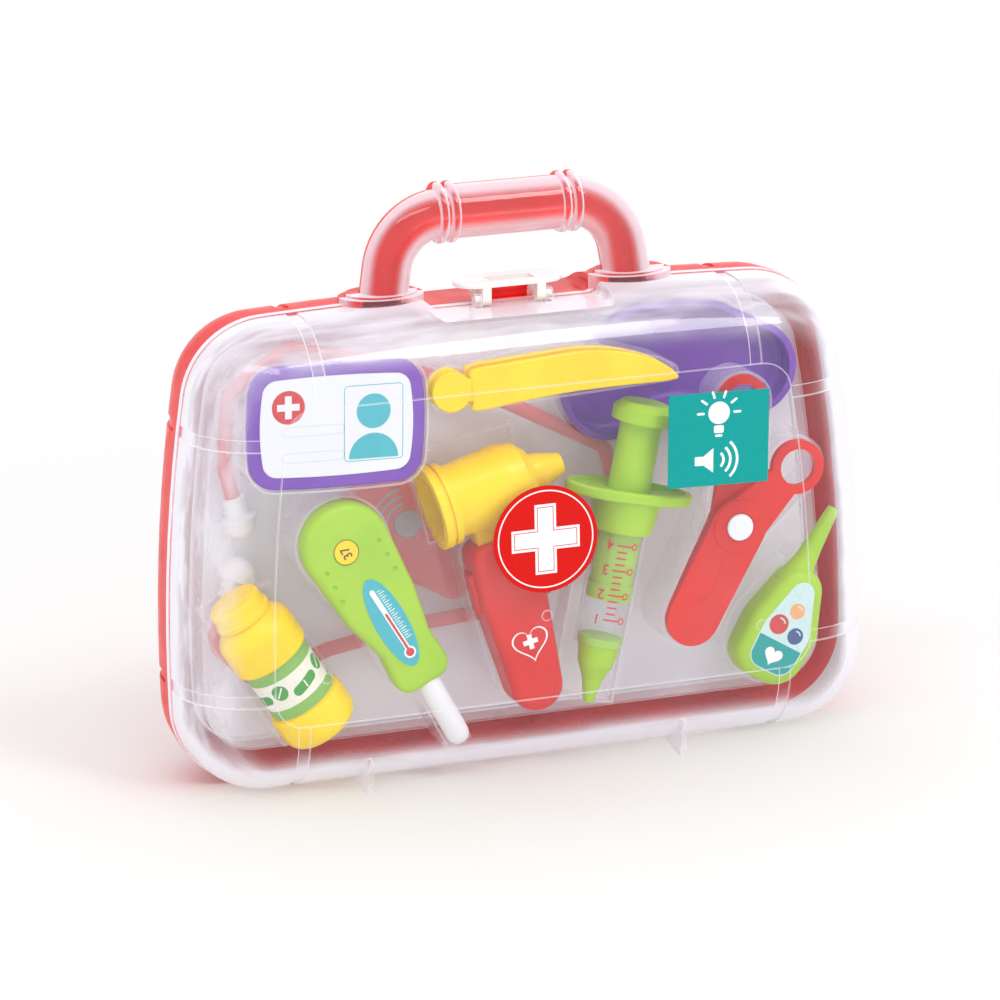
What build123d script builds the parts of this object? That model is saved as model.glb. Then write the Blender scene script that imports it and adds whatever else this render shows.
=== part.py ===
from build123d import *
import math
import os
from dataclasses import dataclass

# Toy doctor case: a hinged case of two half shells, with its tray of toy instruments.
# Millimetres. X runs to the right across the front, Y to the back and Z up. The origin is on
# the floor under the middle of the parting plane (y = 0), where the two halves meet.

# ------------------------------------------------------------------ case: driving dimensions
HALF_WIDTH = 158.0        # widest half width of one shell
WIDEST_UP = 50.0          # height of the widest point above the underside
SIDE_RADIUS = 737.0       # the sides are long arcs, so the case narrows towards the top
BODY_HEIGHT = 208.5       # underside to the crown of the top
CROWN_RADIUS = 2500.0     # slight crown of the top
CORNER_RADIUS = 37.0      # corners of the outline, seen from the front
HALF_DEPTH = 46.0         # parting plane to the flat panel of one shell
FLANK_RADIUS = 34.5       # round from the side walls to the flat panel
WALL = 2.0                # moulded wall of both shells
PARTING_GAP = 0.15        # between the two rims when the case is shut

BEAD_PROUD = 0.8          # bead that runs round each rim
BEAD_DEPTH = 4.0

PANEL_INSET = 34.7        # outline to the edge of the flat panel
PANEL_CORNER = 13.0
PANEL_STEP = 0.6          # the panel is sunk by this much

BAND_WIDTH = 5.2          # grooves that part the corner guards from the sides
BAND_DEPTH = 0.9
BAND_TOP_X = 98.5         # middle of the two grooves over the top
BAND_BOTTOM_X = 111.0     # and of the two under the bottom
BAND_HIGH_UP = 160.0      # middle of the upper groove on each side, above the underside
BAND_LOW_UP = 48.0

GATE_RADIUS = 2.3         # round marks left by the moulding gates
GATE_PROUD = 0.4
GATE_X = 100.2
GATE_UP = 55.5
GATE_MIDDLE_UP = 71.7

# dip in the top, between the legs of the handle
DIP_HALF_WIDTH = 40.0
DIP_FLOOR_UP = 202.5
DIP_SHOULDER_UP = 208.9
DIP_ROUND = 3.0

# ------------------------------------------------------------------ hinge
HINGE_RADIUS = 2.0
HINGE_PIN_RADIUS = 1.0
HINGE_FIT = 0.06          # radial clearance of the pin in the front knuckle
HINGE_KNUCKLE = 8.0
HINGE_SIDE_GAP = 0.3
HINGE_RELIEF = 0.35       # radial room round a knuckle in the other shell
HINGE_X = 70.0
UNDERSIDE_GAP = 0.15      # underside above the hinge line, so that the lid folds right back
HINGE_Z = HINGE_RADIUS
UNDERSIDE = HINGE_Z + UNDERSIDE_GAP

# ------------------------------------------------------------------ feet
FOOT_THICK = 2.2
FOOT_BACK = 20.0          # distances from the parting plane
FOOT_TIP = 40.0
FOOT_FRONT = 44.0
FOOT_TOP_UP = 16.0
FOOT_LEFT_X = -81.0
FOOT_RIGHT_X = 64.0

# ------------------------------------------------------------------ handle
GRIP_UP = 243.9           # middle of the grip above the underside
HANDLE_FOOT_X = 57.0
HANDLE_CORNER_X = 50.5
HANDLE_BEND = 26.0
HANDLE_FOOT_UP = 203.0
LEG_HALF = 10.7
LEG_DEPTH = 11.2
GRIP_HALF = 11.9
GRIP_DEPTH = 12.2
GRIP_LENGTH = 47.0
COLLAR_PROUD = 1.6
COLLAR_WIDTH = 3.6
COLLAR_PITCH = 5.3
HANDLE_WALL = 2.0
PAD_HALF_X = 19.0         # stepped pads where the legs leave the case
PAD_DEPTH = 14.0
PAD_UP = 210.6
PAD_STEP = 3.0

# ------------------------------------------------------------------ latch
LATCH_PIVOT_Y = -8.5
LATCH_PIVOT_UP = 206.0
LATCH_PIN_RADIUS = 1.5
LATCH_FIT = 0.08
LATCH_ARM_X = 12.5
LATCH_ARM_WIDTH = 4.0
LATCH_ARM_RADIUS = 3.2
LATCH_SIDE_GAP = 0.3
LATCH_WING_HALF = 24.5
LATCH_PLATE = 2.4
LATCH_TOP_UP = 213.6
LATCH_BACK_Y = 8.0
LUG_WIDTH = 3.0
LUG_RADIUS = 3.0
CATCH_HALF_WIDTH = 10.5
CATCH_UP = 208.2
CATCH_Y = 3.4
CATCH_THICK = 2.2
HOOK_GAP = 0.35

# ------------------------------------------------------------------ depths inside the case
CARD_FRONT = 12.0         # folded backing card, y of its front face
CARD_THICK = 1.2
CARD_INSET = 13.0
SHEET_BACK = -4.0         # flat of the clear formed tray
TRAY_SKIN = 0.8
TRAY_CLEAR = 0.8          # room round each toy in its cradle
TRAY_FLOOR_GAP = 0.1
TRAY_GRIP = 4.5           # height of a cradle's rim above the toy's back
TRAY_LAND = 1.0           # room between the tray's edge and the card's
LABEL_THICK = 0.3
CELL = (5.8, 5.4)         # radius and thickness of a button cell


def tangent_centre(centre_a, radius_a, centre_b, radius_b):
    """Right-hand crossing of two circles: the centre of an arc that joins two larger arcs."""
    (ax, ay), (bx, by) = centre_a, centre_b
    span = math.hypot(bx - ax, by - ay)
    along = (span**2 + radius_a**2 - radius_b**2) / (2 * span)
    aside = math.sqrt(radius_a**2 - along**2)
    ux, uy = (bx - ax) / span, (by - ay) / span
    crossings = [(ax + along * ux - side * aside * uy, ay + along * uy + side * aside * ux)
                 for side in (-1, 1)]
    return max(crossings)


def along_ray(centre, through, radius):
    """Point at a radius from a centre, on the ray through another point."""
    reach = math.dist(centre, through)
    return tuple(c + (t - c) * radius / reach for c, t in zip(centre, through))


def case_outline(inset=0.0):
    """Face of the case seen from the front, drawn in by inset: flat foot, arcs elsewhere."""
    side_centre = (HALF_WIDTH - SIDE_RADIUS, UNDERSIDE + WIDEST_UP)
    crown_centre = (0.0, UNDERSIDE + BODY_HEIGHT - CROWN_RADIUS)
    low_z = UNDERSIDE + CORNER_RADIUS
    low_reach = SIDE_RADIUS - CORNER_RADIUS
    low_x = side_centre[0] + math.sqrt(low_reach**2 - (low_z - side_centre[1]) ** 2)
    low_corner = (low_x, low_z)
    high_corner = tangent_centre(side_centre, low_reach, crown_centre, CROWN_RADIUS - CORNER_RADIUS)

    side_radius = SIDE_RADIUS - inset
    corner = CORNER_RADIUS - inset
    crown = CROWN_RADIUS - inset
    foot = (low_x, UNDERSIDE + inset)
    side_low = along_ray(side_centre, low_corner, side_radius)
    side_high = along_ray(side_centre, high_corner, side_radius)
    top_side = along_ray(crown_centre, high_corner, crown)
    diagonal = corner / math.sqrt(2)
    low_mid = (low_corner[0] + diagonal, low_corner[1] - diagonal)
    high_mid = (high_corner[0] + diagonal, high_corner[1] + diagonal)
    side_mid = (side_centre[0] + side_radius, side_centre[1])
    top_mid = (0.0, crown_centre[1] + crown)

    def mirrored(point):
        return (-point[0], point[1])

    edges = [
        Line(mirrored(foot), foot),
        ThreePointArc(foot, low_mid, side_low),
        ThreePointArc(side_low, side_mid, side_high),
        ThreePointArc(side_high, high_mid, top_side),
        ThreePointArc(top_side, top_mid, mirrored(top_side)),
        ThreePointArc(mirrored(top_side), mirrored(high_mid), mirrored(side_high)),
        ThreePointArc(mirrored(side_high), mirrored(side_mid), mirrored(side_low)),
        ThreePointArc(mirrored(side_low), mirrored(low_mid), mirrored(foot)),
    ]
    return make_face(edges)


def slab(face, back, front):
    """Prism from a face drawn as (x, z), between the depths y = back and y = front."""
    return extrude(Plane.XZ.offset(-back) * face, back - front)


def box_between(x, y, z):
    """Box from three pairs of limits."""
    size = [b - a for a, b in (x, y, z)]
    middle = [(a + b) / 2 for a, b in (x, y, z)]
    return Pos(*middle) * Box(*size)


def dip_profile(grow=0.0):
    """Dip of the top between the handle's legs, with S-shaped ends."""
    half = DIP_HALF_WIDTH + grow
    floor = UNDERSIDE + DIP_FLOOR_UP - grow
    shoulder = UNDERSIDE + DIP_SHOULDER_UP - grow
    over = shoulder + 30
    flare = half + 3 * DIP_ROUND
    points = [(-half, floor), (half, floor), (half, shoulder), (flare, shoulder),
              (flare, over), (-flare, over), (-flare, shoulder), (-half, shoulder)]
    face = make_face(Polyline(*points, close=True))
    rounded = [v for v in face.vertices() if abs(v.Y - over) > 1 and abs(abs(v.X) - flare) > 0.1]
    return fillet(rounded, DIP_ROUND)


def half_body(inset=0.0):
    """Front half of the case as a block: straight rim, round flank, flat panel, dip in the top."""
    front = -(HALF_DEPTH - inset)
    block = slab(case_outline(inset), 0, front)
    rim = block.faces().sort_by(Axis.Y)[0].edges()
    block = fillet(rim, FLANK_RADIUS - inset)
    return block - slab(dip_profile(inset), 1, front - 1)


def panel_outline():
    """Edge of the flat panel: the case outline drawn in, with corners of its own."""
    face = case_outline(PANEL_INSET)
    bounds = face.bounding_box()
    top, foot = bounds.max.Y, bounds.min.Y
    side = HALF_WIDTH - PANEL_INSET

    def half_at(z):
        return side - (z - UNDERSIDE - WIDEST_UP) ** 2 / (2 * SIDE_RADIUS)

    mid_z = (top + foot) / 2
    edges = [
        Line((-half_at(foot), foot), (half_at(foot), foot)),
        ThreePointArc((half_at(foot), foot), (half_at(mid_z), mid_z), (half_at(top), top)),
        Line((half_at(top), top), (-half_at(top), top)),
        ThreePointArc((-half_at(top), top), (-half_at(mid_z), mid_z), (-half_at(foot), foot)),
    ]
    panel = make_face(edges)
    return fillet(panel.vertices(), PANEL_CORNER)


def guard_grooves(body):
    """Shallow bands over the rounded flank, from the ends of the panel's corners to the rim."""
    skin = body - half_body(BAND_DEPTH)
    half = BAND_WIDTH / 2
    deep = (-HALF_DEPTH - 1, -BEAD_DEPTH)
    middle = UNDERSIDE + BODY_HEIGHT / 2
    reach_x = (HALF_WIDTH - PANEL_INSET - PANEL_CORNER, HALF_WIDTH + 5)
    top_z = (UNDERSIDE + BODY_HEIGHT - PANEL_INSET, UNDERSIDE + BODY_HEIGHT + 5)
    low_z = (UNDERSIDE - 5, UNDERSIDE + PANEL_INSET)
    bands = []
    for side in (-1, 1):
        for x, z in ((BAND_TOP_X, top_z), (BAND_BOTTOM_X, low_z)):
            bands.append(box_between((side * x - half, side * x + half), deep, z))
        for up in (BAND_HIGH_UP, BAND_LOW_UP):
            z = UNDERSIDE + up
            x = reach_x if side > 0 else (-reach_x[1], -reach_x[0])
            bands.append(box_between(x, deep, (z - half, z + half)))
    panel = slab(panel_outline(), 0, -HALF_DEPTH - 2)
    grooves = Part() + bands - panel
    return skin & grooves


def rim_bead():
    """Bead round the rim, left out along the hinge line underneath."""
    bead = slab(case_outline(-BEAD_PROUD), 0, -BEAD_DEPTH)
    bead -= slab(dip_profile(-BEAD_PROUD), 1, -BEAD_DEPTH - 1)
    under = (-HALF_WIDTH, HALF_WIDTH), (-BEAD_DEPTH - 1, 1), (UNDERSIDE - 5, UNDERSIDE)
    return bead - box_between(*under)


def foot_fin(x):
    """Triangular foot under the round flank, which keeps the case upright."""
    points = [(-FOOT_BACK, UNDERSIDE + 1.0), (-FOOT_TIP, 0.0), (-FOOT_FRONT, FOOT_TOP_UP),
              (-FOOT_FRONT + 10, FOOT_TOP_UP + 4), (-FOOT_BACK, UNDERSIDE + 4)]
    face = make_face(Polyline(*points, close=True))
    return extrude(Plane.YZ.offset(x - FOOT_THICK / 2) * face, FOOT_THICK)


# ------------------------------------------------------------------ handle
def handle_path():
    """Middle line of the handle: up one leg, across the grip and down the other leg."""
    foot_z = UNDERSIDE + HANDLE_FOOT_UP
    grip_z = UNDERSIDE + GRIP_UP
    points = [(-HANDLE_FOOT_X, foot_z), (-HANDLE_CORNER_X, grip_z),
              (HANDLE_CORNER_X, grip_z), (HANDLE_FOOT_X, foot_z)]
    return Plane.XZ * FilletPolyline(*points, radius=HANDLE_BEND)


def half_ellipse(across, deep):
    """Front half of an ellipse: across lies in the x direction, deep points to +y of its plane."""
    half_plane = Pos(0, deep) * Rectangle(4 * across, 2 * deep)
    return Ellipse(across, deep) & half_plane


def handle_tube(across, deep):
    """Half tube swept along the handle, on the front side of the parting plane."""
    path = handle_path()
    start = Plane(origin=path @ 0, x_dir=Vector(0, 1, 0).cross(path % 0), z_dir=path % 0)
    section = start * half_ellipse(across, deep)
    if section.center().Y > 0:
        section = start * half_ellipse(across, deep).rotate(Axis.Z, 180)
    return sweep(section, path)


def grip_sleeve(radius, deep, length, x=0.0):
    """Half sleeve along the grip."""
    middle = Plane(origin=(x - length / 2, 0, UNDERSIDE + GRIP_UP), x_dir=(0, 0, 1), z_dir=(1, 0, 0))
    section = middle * half_ellipse(radius, deep)
    if section.center().Y > 0:
        section = middle * half_ellipse(radius, deep).rotate(Axis.Z, 180)
    return extrude(section, length)


def handle_collars():
    """Two pairs of raised rings at the ends of the grip."""
    rings = []
    first = GRIP_LENGTH / 2 + COLLAR_WIDTH / 2
    for side in (-1, 1):
        for x in (first, first + COLLAR_PITCH):
            ring = grip_sleeve(GRIP_HALF + COLLAR_PROUD, GRIP_DEPTH + COLLAR_PROUD, COLLAR_WIDTH, side * x)
            ends = [e for e in ring.edges().filter_by(GeomType.ELLIPSE)]
            rings.append(fillet(ends, COLLAR_WIDTH * 0.4))
    return rings


def handle_half():
    """Front half of the handle with its grip, rings and stepped pads, hollow behind."""
    tube = handle_tube(LEG_HALF, LEG_DEPTH)
    tube += grip_sleeve(GRIP_HALF, GRIP_DEPTH, GRIP_LENGTH)
    for ring in handle_collars():
        tube += ring
    pad_top = UNDERSIDE + PAD_UP
    for side in (-1, 1):
        for step in (0, 1):
            across, deep = PAD_HALF_X - step * PAD_STEP, PAD_DEPTH - step * PAD_STEP / 2
            outline = Ellipse(across, deep) & Pos(0, -deep) * Rectangle(4 * across, 2 * deep)
            foot = Plane.XY.offset(UNDERSIDE + HANDLE_FOOT_UP) * Pos(side * HANDLE_FOOT_X, 0) * outline
            tube += extrude(foot, pad_top - UNDERSIDE - HANDLE_FOOT_UP + step * 1.2)
    return tube


def handle_hollow():
    """Room inside the half handle, open at the parting plane."""
    return handle_tube(LEG_HALF - HANDLE_WALL, LEG_DEPTH - HANDLE_WALL)


# ------------------------------------------------------------------ the two shells
def plain_shell():
    """Half shell with everything that both halves share, as the front one."""
    body = half_body()
    grooves = guard_grooves(body)
    body -= slab(panel_outline(), -HALF_DEPTH + PANEL_STEP, -HALF_DEPTH - 1)
    body += rim_bead()
    body -= grooves
    for x in (FOOT_LEFT_X, FOOT_RIGHT_X):
        body += foot_fin(x)
    body += handle_half()
    gates = [(-GATE_X, GATE_UP), (GATE_X, GATE_UP), (0.0, GATE_MIDDLE_UP)]
    for x, up in gates:
        spot = Pos(x, UNDERSIDE + up) * Circle(GATE_RADIUS)
        body += slab(spot, -HALF_DEPTH + 1, -HALF_DEPTH + PANEL_STEP - GATE_PROUD)
    hollow = half_body(WALL)
    hollow -= slab(panel_outline(), -HALF_DEPTH + WALL + PANEL_STEP, -HALF_DEPTH)
    return body - hollow - handle_hollow()


def turned_to_back(shell):
    """The same moulding turned round to be the back half."""
    return shell.rotate(Axis.Z, 180)


HINGE_SPAN = 3 * HINGE_KNUCKLE + 2 * HINGE_SIDE_GAP


def knuckle_ranges(x):
    """Places of the three knuckles of one hinge: back shell, front shell, back shell."""
    start = x - HINGE_SPAN / 2
    step = HINGE_KNUCKLE + HINGE_SIDE_GAP
    return [(start + n * step, start + n * step + HINGE_KNUCKLE) for n in range(3)]


def rod_x(limits, radius, y, z):
    """Round rod along X between two limits."""
    face = Plane.YZ.offset(limits[0]) * Pos(y, z) * Circle(radius)
    return extrude(face, limits[1] - limits[0])


def hinge_knuckle(limits, side):
    """Knuckle with a short root into the underside of its shell; side is -1 in front, +1 behind."""
    barrel = rod_x(limits, HINGE_RADIUS, 0, HINGE_Z)
    y = (0, 2 * HINGE_RADIUS) if side > 0 else (-2 * HINGE_RADIUS, 0)
    root = box_between(limits, y, (HINGE_Z, HINGE_Z + HINGE_RADIUS))
    return barrel + root


def fit_hinges(shell, side):
    """Add this shell's knuckles, make room for the other's and bore for the pins."""
    own = (1,) if side < 0 else (0, 2)
    room = HINGE_RADIUS + HINGE_RELIEF
    for x in (-HINGE_X, HINGE_X):
        ranges = knuckle_ranges(x)
        for n, (low, high) in enumerate(ranges):
            if n not in own:
                limits = (low - HINGE_SIDE_GAP, high + HINGE_SIDE_GAP)
                shell -= rod_x(limits, room, 0, HINGE_Z)
        for n in own:
            shell += hinge_knuckle(ranges[n], side)
        bore = HINGE_PIN_RADIUS + (HINGE_FIT if side < 0 else 0)
        shell -= rod_x((ranges[0][0] - 1, ranges[2][1] + 1), bore, 0, HINGE_Z)
    return shell


def hinge_pins():
    """One pin for each hinge."""
    pins = []
    for x in (-HINGE_X, HINGE_X):
        ranges = knuckle_ranges(x)
        pins.append(rod_x((ranges[0][0], ranges[2][1]), HINGE_PIN_RADIUS, 0, HINGE_Z))
    return Compound(children=[Part() + pin for pin in pins])


LATCH_PIVOT_Z = UNDERSIDE + LATCH_PIVOT_UP
LUG_X = LATCH_ARM_X + LATCH_ARM_WIDTH / 2 + LATCH_SIDE_GAP


def latch_lugs():
    """Two lugs that stand in the dip and carry the latch's stub pins from outside."""
    lugs = []
    floor = UNDERSIDE + DIP_FLOOR_UP - WALL / 2
    for side in (-1, 1):
        limits = sorted((side * LUG_X, side * (LUG_X + LUG_WIDTH)))
        eye = rod_x(limits, LUG_RADIUS, LATCH_PIVOT_Y, LATCH_PIVOT_Z)
        y = (LATCH_PIVOT_Y - LUG_RADIUS, LATCH_PIVOT_Y + LUG_RADIUS)
        eye += box_between(limits, y, (floor, LATCH_PIVOT_Z))
        lugs.append(eye - rod_x(limits, LATCH_PIN_RADIUS + LATCH_FIT, LATCH_PIVOT_Y, LATCH_PIVOT_Z))
    return lugs


def latch():
    """White latch: two arms with stub pins, a winged plate and a hook behind the catch."""
    plate_top = UNDERSIDE + LATCH_TOP_UP
    plate_low = plate_top - LATCH_PLATE
    front = LATCH_PIVOT_Y - LATCH_ARM_RADIUS
    wing = SlotOverall(2 * LATCH_WING_HALF, LATCH_BACK_Y - front)
    tapered = Pos(0, (LATCH_BACK_Y + front) / 2) * wing
    plate = extrude(Plane.XY.offset(plate_low) * tapered, LATCH_PLATE)
    plate = fillet(plate.faces().sort_by(Axis.Z)[-1].edges(), LATCH_PLATE * 0.6)
    body = plate
    for side in (-1, 1):
        x = side * LATCH_ARM_X
        limits = (x - LATCH_ARM_WIDTH / 2, x + LATCH_ARM_WIDTH / 2)
        body += rod_x(limits, LATCH_ARM_RADIUS, LATCH_PIVOT_Y, LATCH_PIVOT_Z)
        y = (LATCH_PIVOT_Y - LATCH_ARM_RADIUS, LATCH_PIVOT_Y + LATCH_ARM_RADIUS)
        body += box_between(limits, y, (LATCH_PIVOT_Z, plate_low + 0.5))
        pin = sorted((side * LATCH_ARM_X, side * (LUG_X + LUG_WIDTH)))
        body += rod_x(pin, LATCH_PIN_RADIUS, LATCH_PIVOT_Y, LATCH_PIVOT_Z)
    hook_front = CATCH_Y + CATCH_THICK / 2 + HOOK_GAP
    half = CATCH_HALF_WIDTH + 4
    hook_low = UNDERSIDE + CATCH_UP - 3.2
    body += box_between((-half, half), (hook_front, LATCH_BACK_Y - 0.4), (hook_low, plate_low + 0.5))
    window = box_between((-CATCH_HALF_WIDTH, CATCH_HALF_WIDTH), (front + 3.4, CATCH_Y - 3.0),
                         (plate_low - 1, plate_top + 1))
    return body - window


def catch():
    """Upright tab on the back shell that the latch hooks behind, with two sight slots."""
    floor = UNDERSIDE + DIP_FLOOR_UP - WALL / 2
    y = (CATCH_Y - CATCH_THICK / 2, CATCH_Y + CATCH_THICK / 2)
    tab = box_between((-CATCH_HALF_WIDTH, CATCH_HALF_WIDTH), y, (floor, UNDERSIDE + CATCH_UP))
    lip_z = (UNDERSIDE + CATCH_UP - 1.4, UNDERSIDE + CATCH_UP)
    return tab + box_between((-CATCH_HALF_WIDTH, CATCH_HALF_WIDTH), (y[0] - 1.0, y[1]), lip_z)


# ------------------------------------------------------------------ laying out the toys
@dataclass
class Seat:
    """Where a toy lies: x and height above the underside, depth y of its middle, and its lean."""
    x: float
    up: float
    y: float
    lean: float = 0.0

    def place(self, solid):
        return Pos(self.x, self.y, UNDERSIDE + self.up) * Rot(0, self.lean, 0) * solid

    def spot(self, face):
        """The same place for a face drawn as (x, z)."""
        return Pos(self.x, UNDERSIDE + self.up) * Rot(0, 0, -self.lean) * face


def disc_hull(discs, grow=0.0):
    """Tight outline round discs given as (x, z, radius)."""
    if len(discs) == 1:
        x, z, radius = discs[0]
        return Pos(x, z) * Circle(radius + grow)
    circles = [Pos(x, z) * Circle(radius + grow) for x, z, radius in discs]
    return make_hull([edge for circle in circles for edge in circle.edges()])


def front_edges(solid):
    """Edges round the face that looks to the front."""
    return solid.faces().sort_by(Axis.Y)[0].edges()


def back_edges(solid):
    """Edges round the face that looks to the back."""
    return solid.faces().sort_by(Axis.Y)[-1].edges()


def pebble(face, thick, round_edge):
    """Flat toy body: a face given thickness about y = 0, with both rims rounded."""
    body = slab(face, thick / 2, -thick / 2)
    return fillet(front_edges(body) + back_edges(body), round_edge)


def turned(*points):
    """Solid of revolution about Z from (radius, z) points."""
    face = make_face(Polyline(*points, close=True))
    return revolve(Plane.XZ * face, Axis.Z)


# ------------------------------------------------------------------ identity badge
BADGE = Seat(x=-88.9, up=163.4, y=-32.0, lean=1.8)
BADGE_HALF_WIDTH = 39.5
BADGE_HALF_HEIGHT = 27.3
BADGE_BULGE = 2.2
BADGE_CORNER = 12.0
BADGE_THICK = 4.5
BADGE_BORDER = 5.2
BADGE_RECESS = 1.0
BADGE_CARD_THICK = 0.8
BADGE_CARD_FIT = 0.15
NUB_RADIUS = 4.5


def badge_outline(inset=0.0):
    """Rounded rectangle with bulging sides."""
    half_x, half_z = BADGE_HALF_WIDTH - inset, BADGE_HALF_HEIGHT - inset
    corner_x, corner_z = half_x - BADGE_BULGE, half_z - BADGE_BULGE / 2
    corners = [(-corner_x, -corner_z), (corner_x, -corner_z), (corner_x, corner_z), (-corner_x, corner_z)]
    middles = [(0, -half_z), (half_x, 0), (0, half_z), (-half_x, 0)]
    arcs = [ThreePointArc(corners[n], middles[n], corners[(n + 1) % 4]) for n in range(4)]
    face = make_face(arcs)
    return fillet(face.vertices(), BADGE_CORNER - inset)


def badge_frame():
    """Purple frame with a shallow recess for the card."""
    frame = slab(badge_outline(), BADGE_THICK / 2, -BADGE_THICK / 2)
    frame = fillet(front_edges(frame), 1.2)
    floor = -BADGE_THICK / 2 + BADGE_RECESS
    return frame - slab(badge_outline(BADGE_BORDER), floor, -BADGE_THICK)


def badge_card():
    """Card that lies in the frame's recess."""
    floor = -BADGE_THICK / 2 + BADGE_RECESS
    return slab(badge_outline(BADGE_BORDER + BADGE_CARD_FIT), floor, floor - BADGE_CARD_THICK)


# ------------------------------------------------------------------ tweezers
TWEEZERS = Seat(x=-36.2, up=172.4, y=-30.2)
TWEEZER_ROOT = (0.0, 0.0, 9.0)
TWEEZER_BLADE = [(16.2, 0.9, 9.5), (35.0, 3.9, 10.2), (67.1, 3.4, 8.5), (94.7, -0.8, 4.4), (101.2, -2.2, 2.5)]
TWEEZER_THICK = 3.4
TWEEZER_GAP = 5.4         # between the two arms at rest
TWEEZER_HINGE_GAP = 0.6
TWEEZER_WEB = 1.0


def tweezer_arm(back):
    """One arm from its round root to its tip; back is the y of its rear face."""
    face = disc_hull([TWEEZER_ROOT]) + disc_hull(TWEEZER_BLADE)
    arm = slab(face, back, back - TWEEZER_THICK)
    return fillet(front_edges(arm), 1.1)


def tweezers_back_arm():
    """Rear arm with the boss and the springy web that carry the front arm."""
    front_face = TWEEZER_GAP / 2
    arm = tweezer_arm(front_face + TWEEZER_THICK)
    boss = disc_hull([(0.0, 0.0, TWEEZER_ROOT[2] - 1.0)])
    arm += slab(boss, front_face + 1, -TWEEZER_GAP / 2 + TWEEZER_HINGE_GAP)
    web = (-TWEEZER_WEB / 2, TWEEZER_WEB / 2), (-TWEEZER_GAP / 2 + 0.05, 0), (-6.0, 6.0)
    return arm + box_between(*web)


def tweezers_front_arm():
    """Front arm, which swings back about the web when it is squeezed."""
    return tweezer_arm(-TWEEZER_GAP / 2)


# ------------------------------------------------------------------ kidney dish
DISH = Seat(x=77.0, up=165.0, y=0.0)
DISH_LOBES = [(-33.0, -5.0, 21.0), (33.0, -2.0, 20.0), (-15.0, 7.0, 24.0), (9.0, 6.0, 24.0)]
DISH_HOLLOW = (0.0, -49.0, 34.0)
DISH_CORNER = 7.0
DISH_FRONT = -10.5
DISH_BACK = 1.5
DISH_WALL = 1.4
DISH_LIP = 1.6


def kidney(grow=0.0):
    """Kidney outline: the round side up, the hollow side down."""
    x, z, radius = DISH_HOLLOW
    face = disc_hull(DISH_LOBES, grow) - Pos(x, z) * Circle(radius - grow)
    low = [v for v in face.vertices() if v.Y < -12 and abs(v.X) < 36]
    return fillet(low, DISH_CORNER)


def kidney_dish():
    """Thin dish that opens to the front, with a turned-out lip."""
    outer = slab(kidney(), DISH_BACK, DISH_FRONT)
    outer = fillet(back_edges(outer), 4.5)
    inner = slab(kidney(-DISH_WALL), DISH_BACK - DISH_WALL, DISH_FRONT - 1)
    inner = fillet(back_edges(inner), 4.5 - DISH_WALL)
    lip = slab(kidney(DISH_LIP), DISH_FRONT + 1.2, DISH_FRONT)
    return outer + lip - inner


# ------------------------------------------------------------------ stethoscope
STETHO_Y = 4.0
TUBE_RADIUS = 3.3
TUBE_BEND = 9.0
YOKE = (36.0, 83.0)
HIGH_ROUTE = [YOKE, (52.0, 105.0), (46.0, 131.0), (-2.0, 157.0), (-44.0, 175.0), (-98.0, 190.0),
              (-126.0, 172.0), (-128.5, 140.0), (-123.5, 117.7)]
LOW_ROUTE = [YOKE, (8.0, 63.0), (-38.0, 60.0), (-84.0, 53.0), (-118.0, 42.0), (-137.0, 62.0), (-125.4, 89.0)]
CHEST_ROUTE = [YOKE, (6.0, 82.0), (-27.0, 77.0)]
YOKE_RADIUS = 5.5
EAR_RADIUS = 7.4
EAR_SKIRT = 1.6           # beyond the end of the tube
EAR_NOSE = 4.0
EAR_GRIP = 4.0            # sleeve over the tube
EAR_WALL = 1.6
EAR_FIT = 0.05
CHEST = Seat(x=-57.0, up=109.0, y=STETHO_Y)
CHEST_DISCS = [(0.0, 0.0, 20.0), (30.0, -32.0, 7.0)]
CHEST_FRONT = -2.6        # y of the chest piece's front face
CHEST_BACK = 11.0
CHEST_BUTTON = (8.5, -1.5)
CHEST_BUTTON_RADIUS = 6.2
BUTTON_FIT = 0.15
CHEST_TRAVEL = 0.8
CHEST_WELL = 3.0
CHEST_WALL = 1.6
CHEST_SPEAKER_AT = -4.0
CHEST_SPEAKER_RADIUS = 11.0
CHEST_SPEAKER_THICK = 3.0


def flat_tube(route, radius):
    """Round tube along a flat route with tangent bends."""
    points = [(x, UNDERSIDE + up) for x, up in route]
    plane = Plane.XZ.offset(-STETHO_Y)
    path = plane * (FilletPolyline(*points, radius=TUBE_BEND) if len(points) > 2 else Line(*points))
    section = Plane(origin=path @ 0, z_dir=path % 0) * Circle(radius)
    return sweep(section, path)


def stethoscope_headset():
    """Two ear tubes and the chest tube, moulded as one with a round yoke."""
    headset = flat_tube(HIGH_ROUTE, TUBE_RADIUS)
    headset += flat_tube(LOW_ROUTE, TUBE_RADIUS)
    headset += flat_tube(CHEST_ROUTE, TUBE_RADIUS)
    headset += Pos(YOKE[0], STETHO_Y, UNDERSIDE + YOKE[1]) * Sphere(YOKE_RADIUS)
    return headset - chest_piece_block()


def ear_tip(route):
    """Soft tip over a tube's end: a sleeve, a skirt and a round nose."""
    bore = TUBE_RADIUS + EAR_FIT
    sleeve = TUBE_RADIUS + EAR_WALL
    nose = EAR_RADIUS - 0.3
    body = turned((0, 0), (bore, 0), (bore, -EAR_GRIP), (sleeve, -EAR_GRIP), (sleeve + 0.8, EAR_SKIRT - 0.6),
                  (EAR_RADIUS, EAR_SKIRT), (nose, EAR_NOSE), (0, EAR_NOSE))
    body += Pos(0, 0, EAR_NOSE) * Sphere(nose, 0, 90)
    (x0, up0), (x1, up1) = route[-2:]
    lean = math.degrees(math.atan2(x1 - x0, up1 - up0))
    return Seat(x=x1, up=up1, y=STETHO_Y, lean=lean).place(body)


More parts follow.
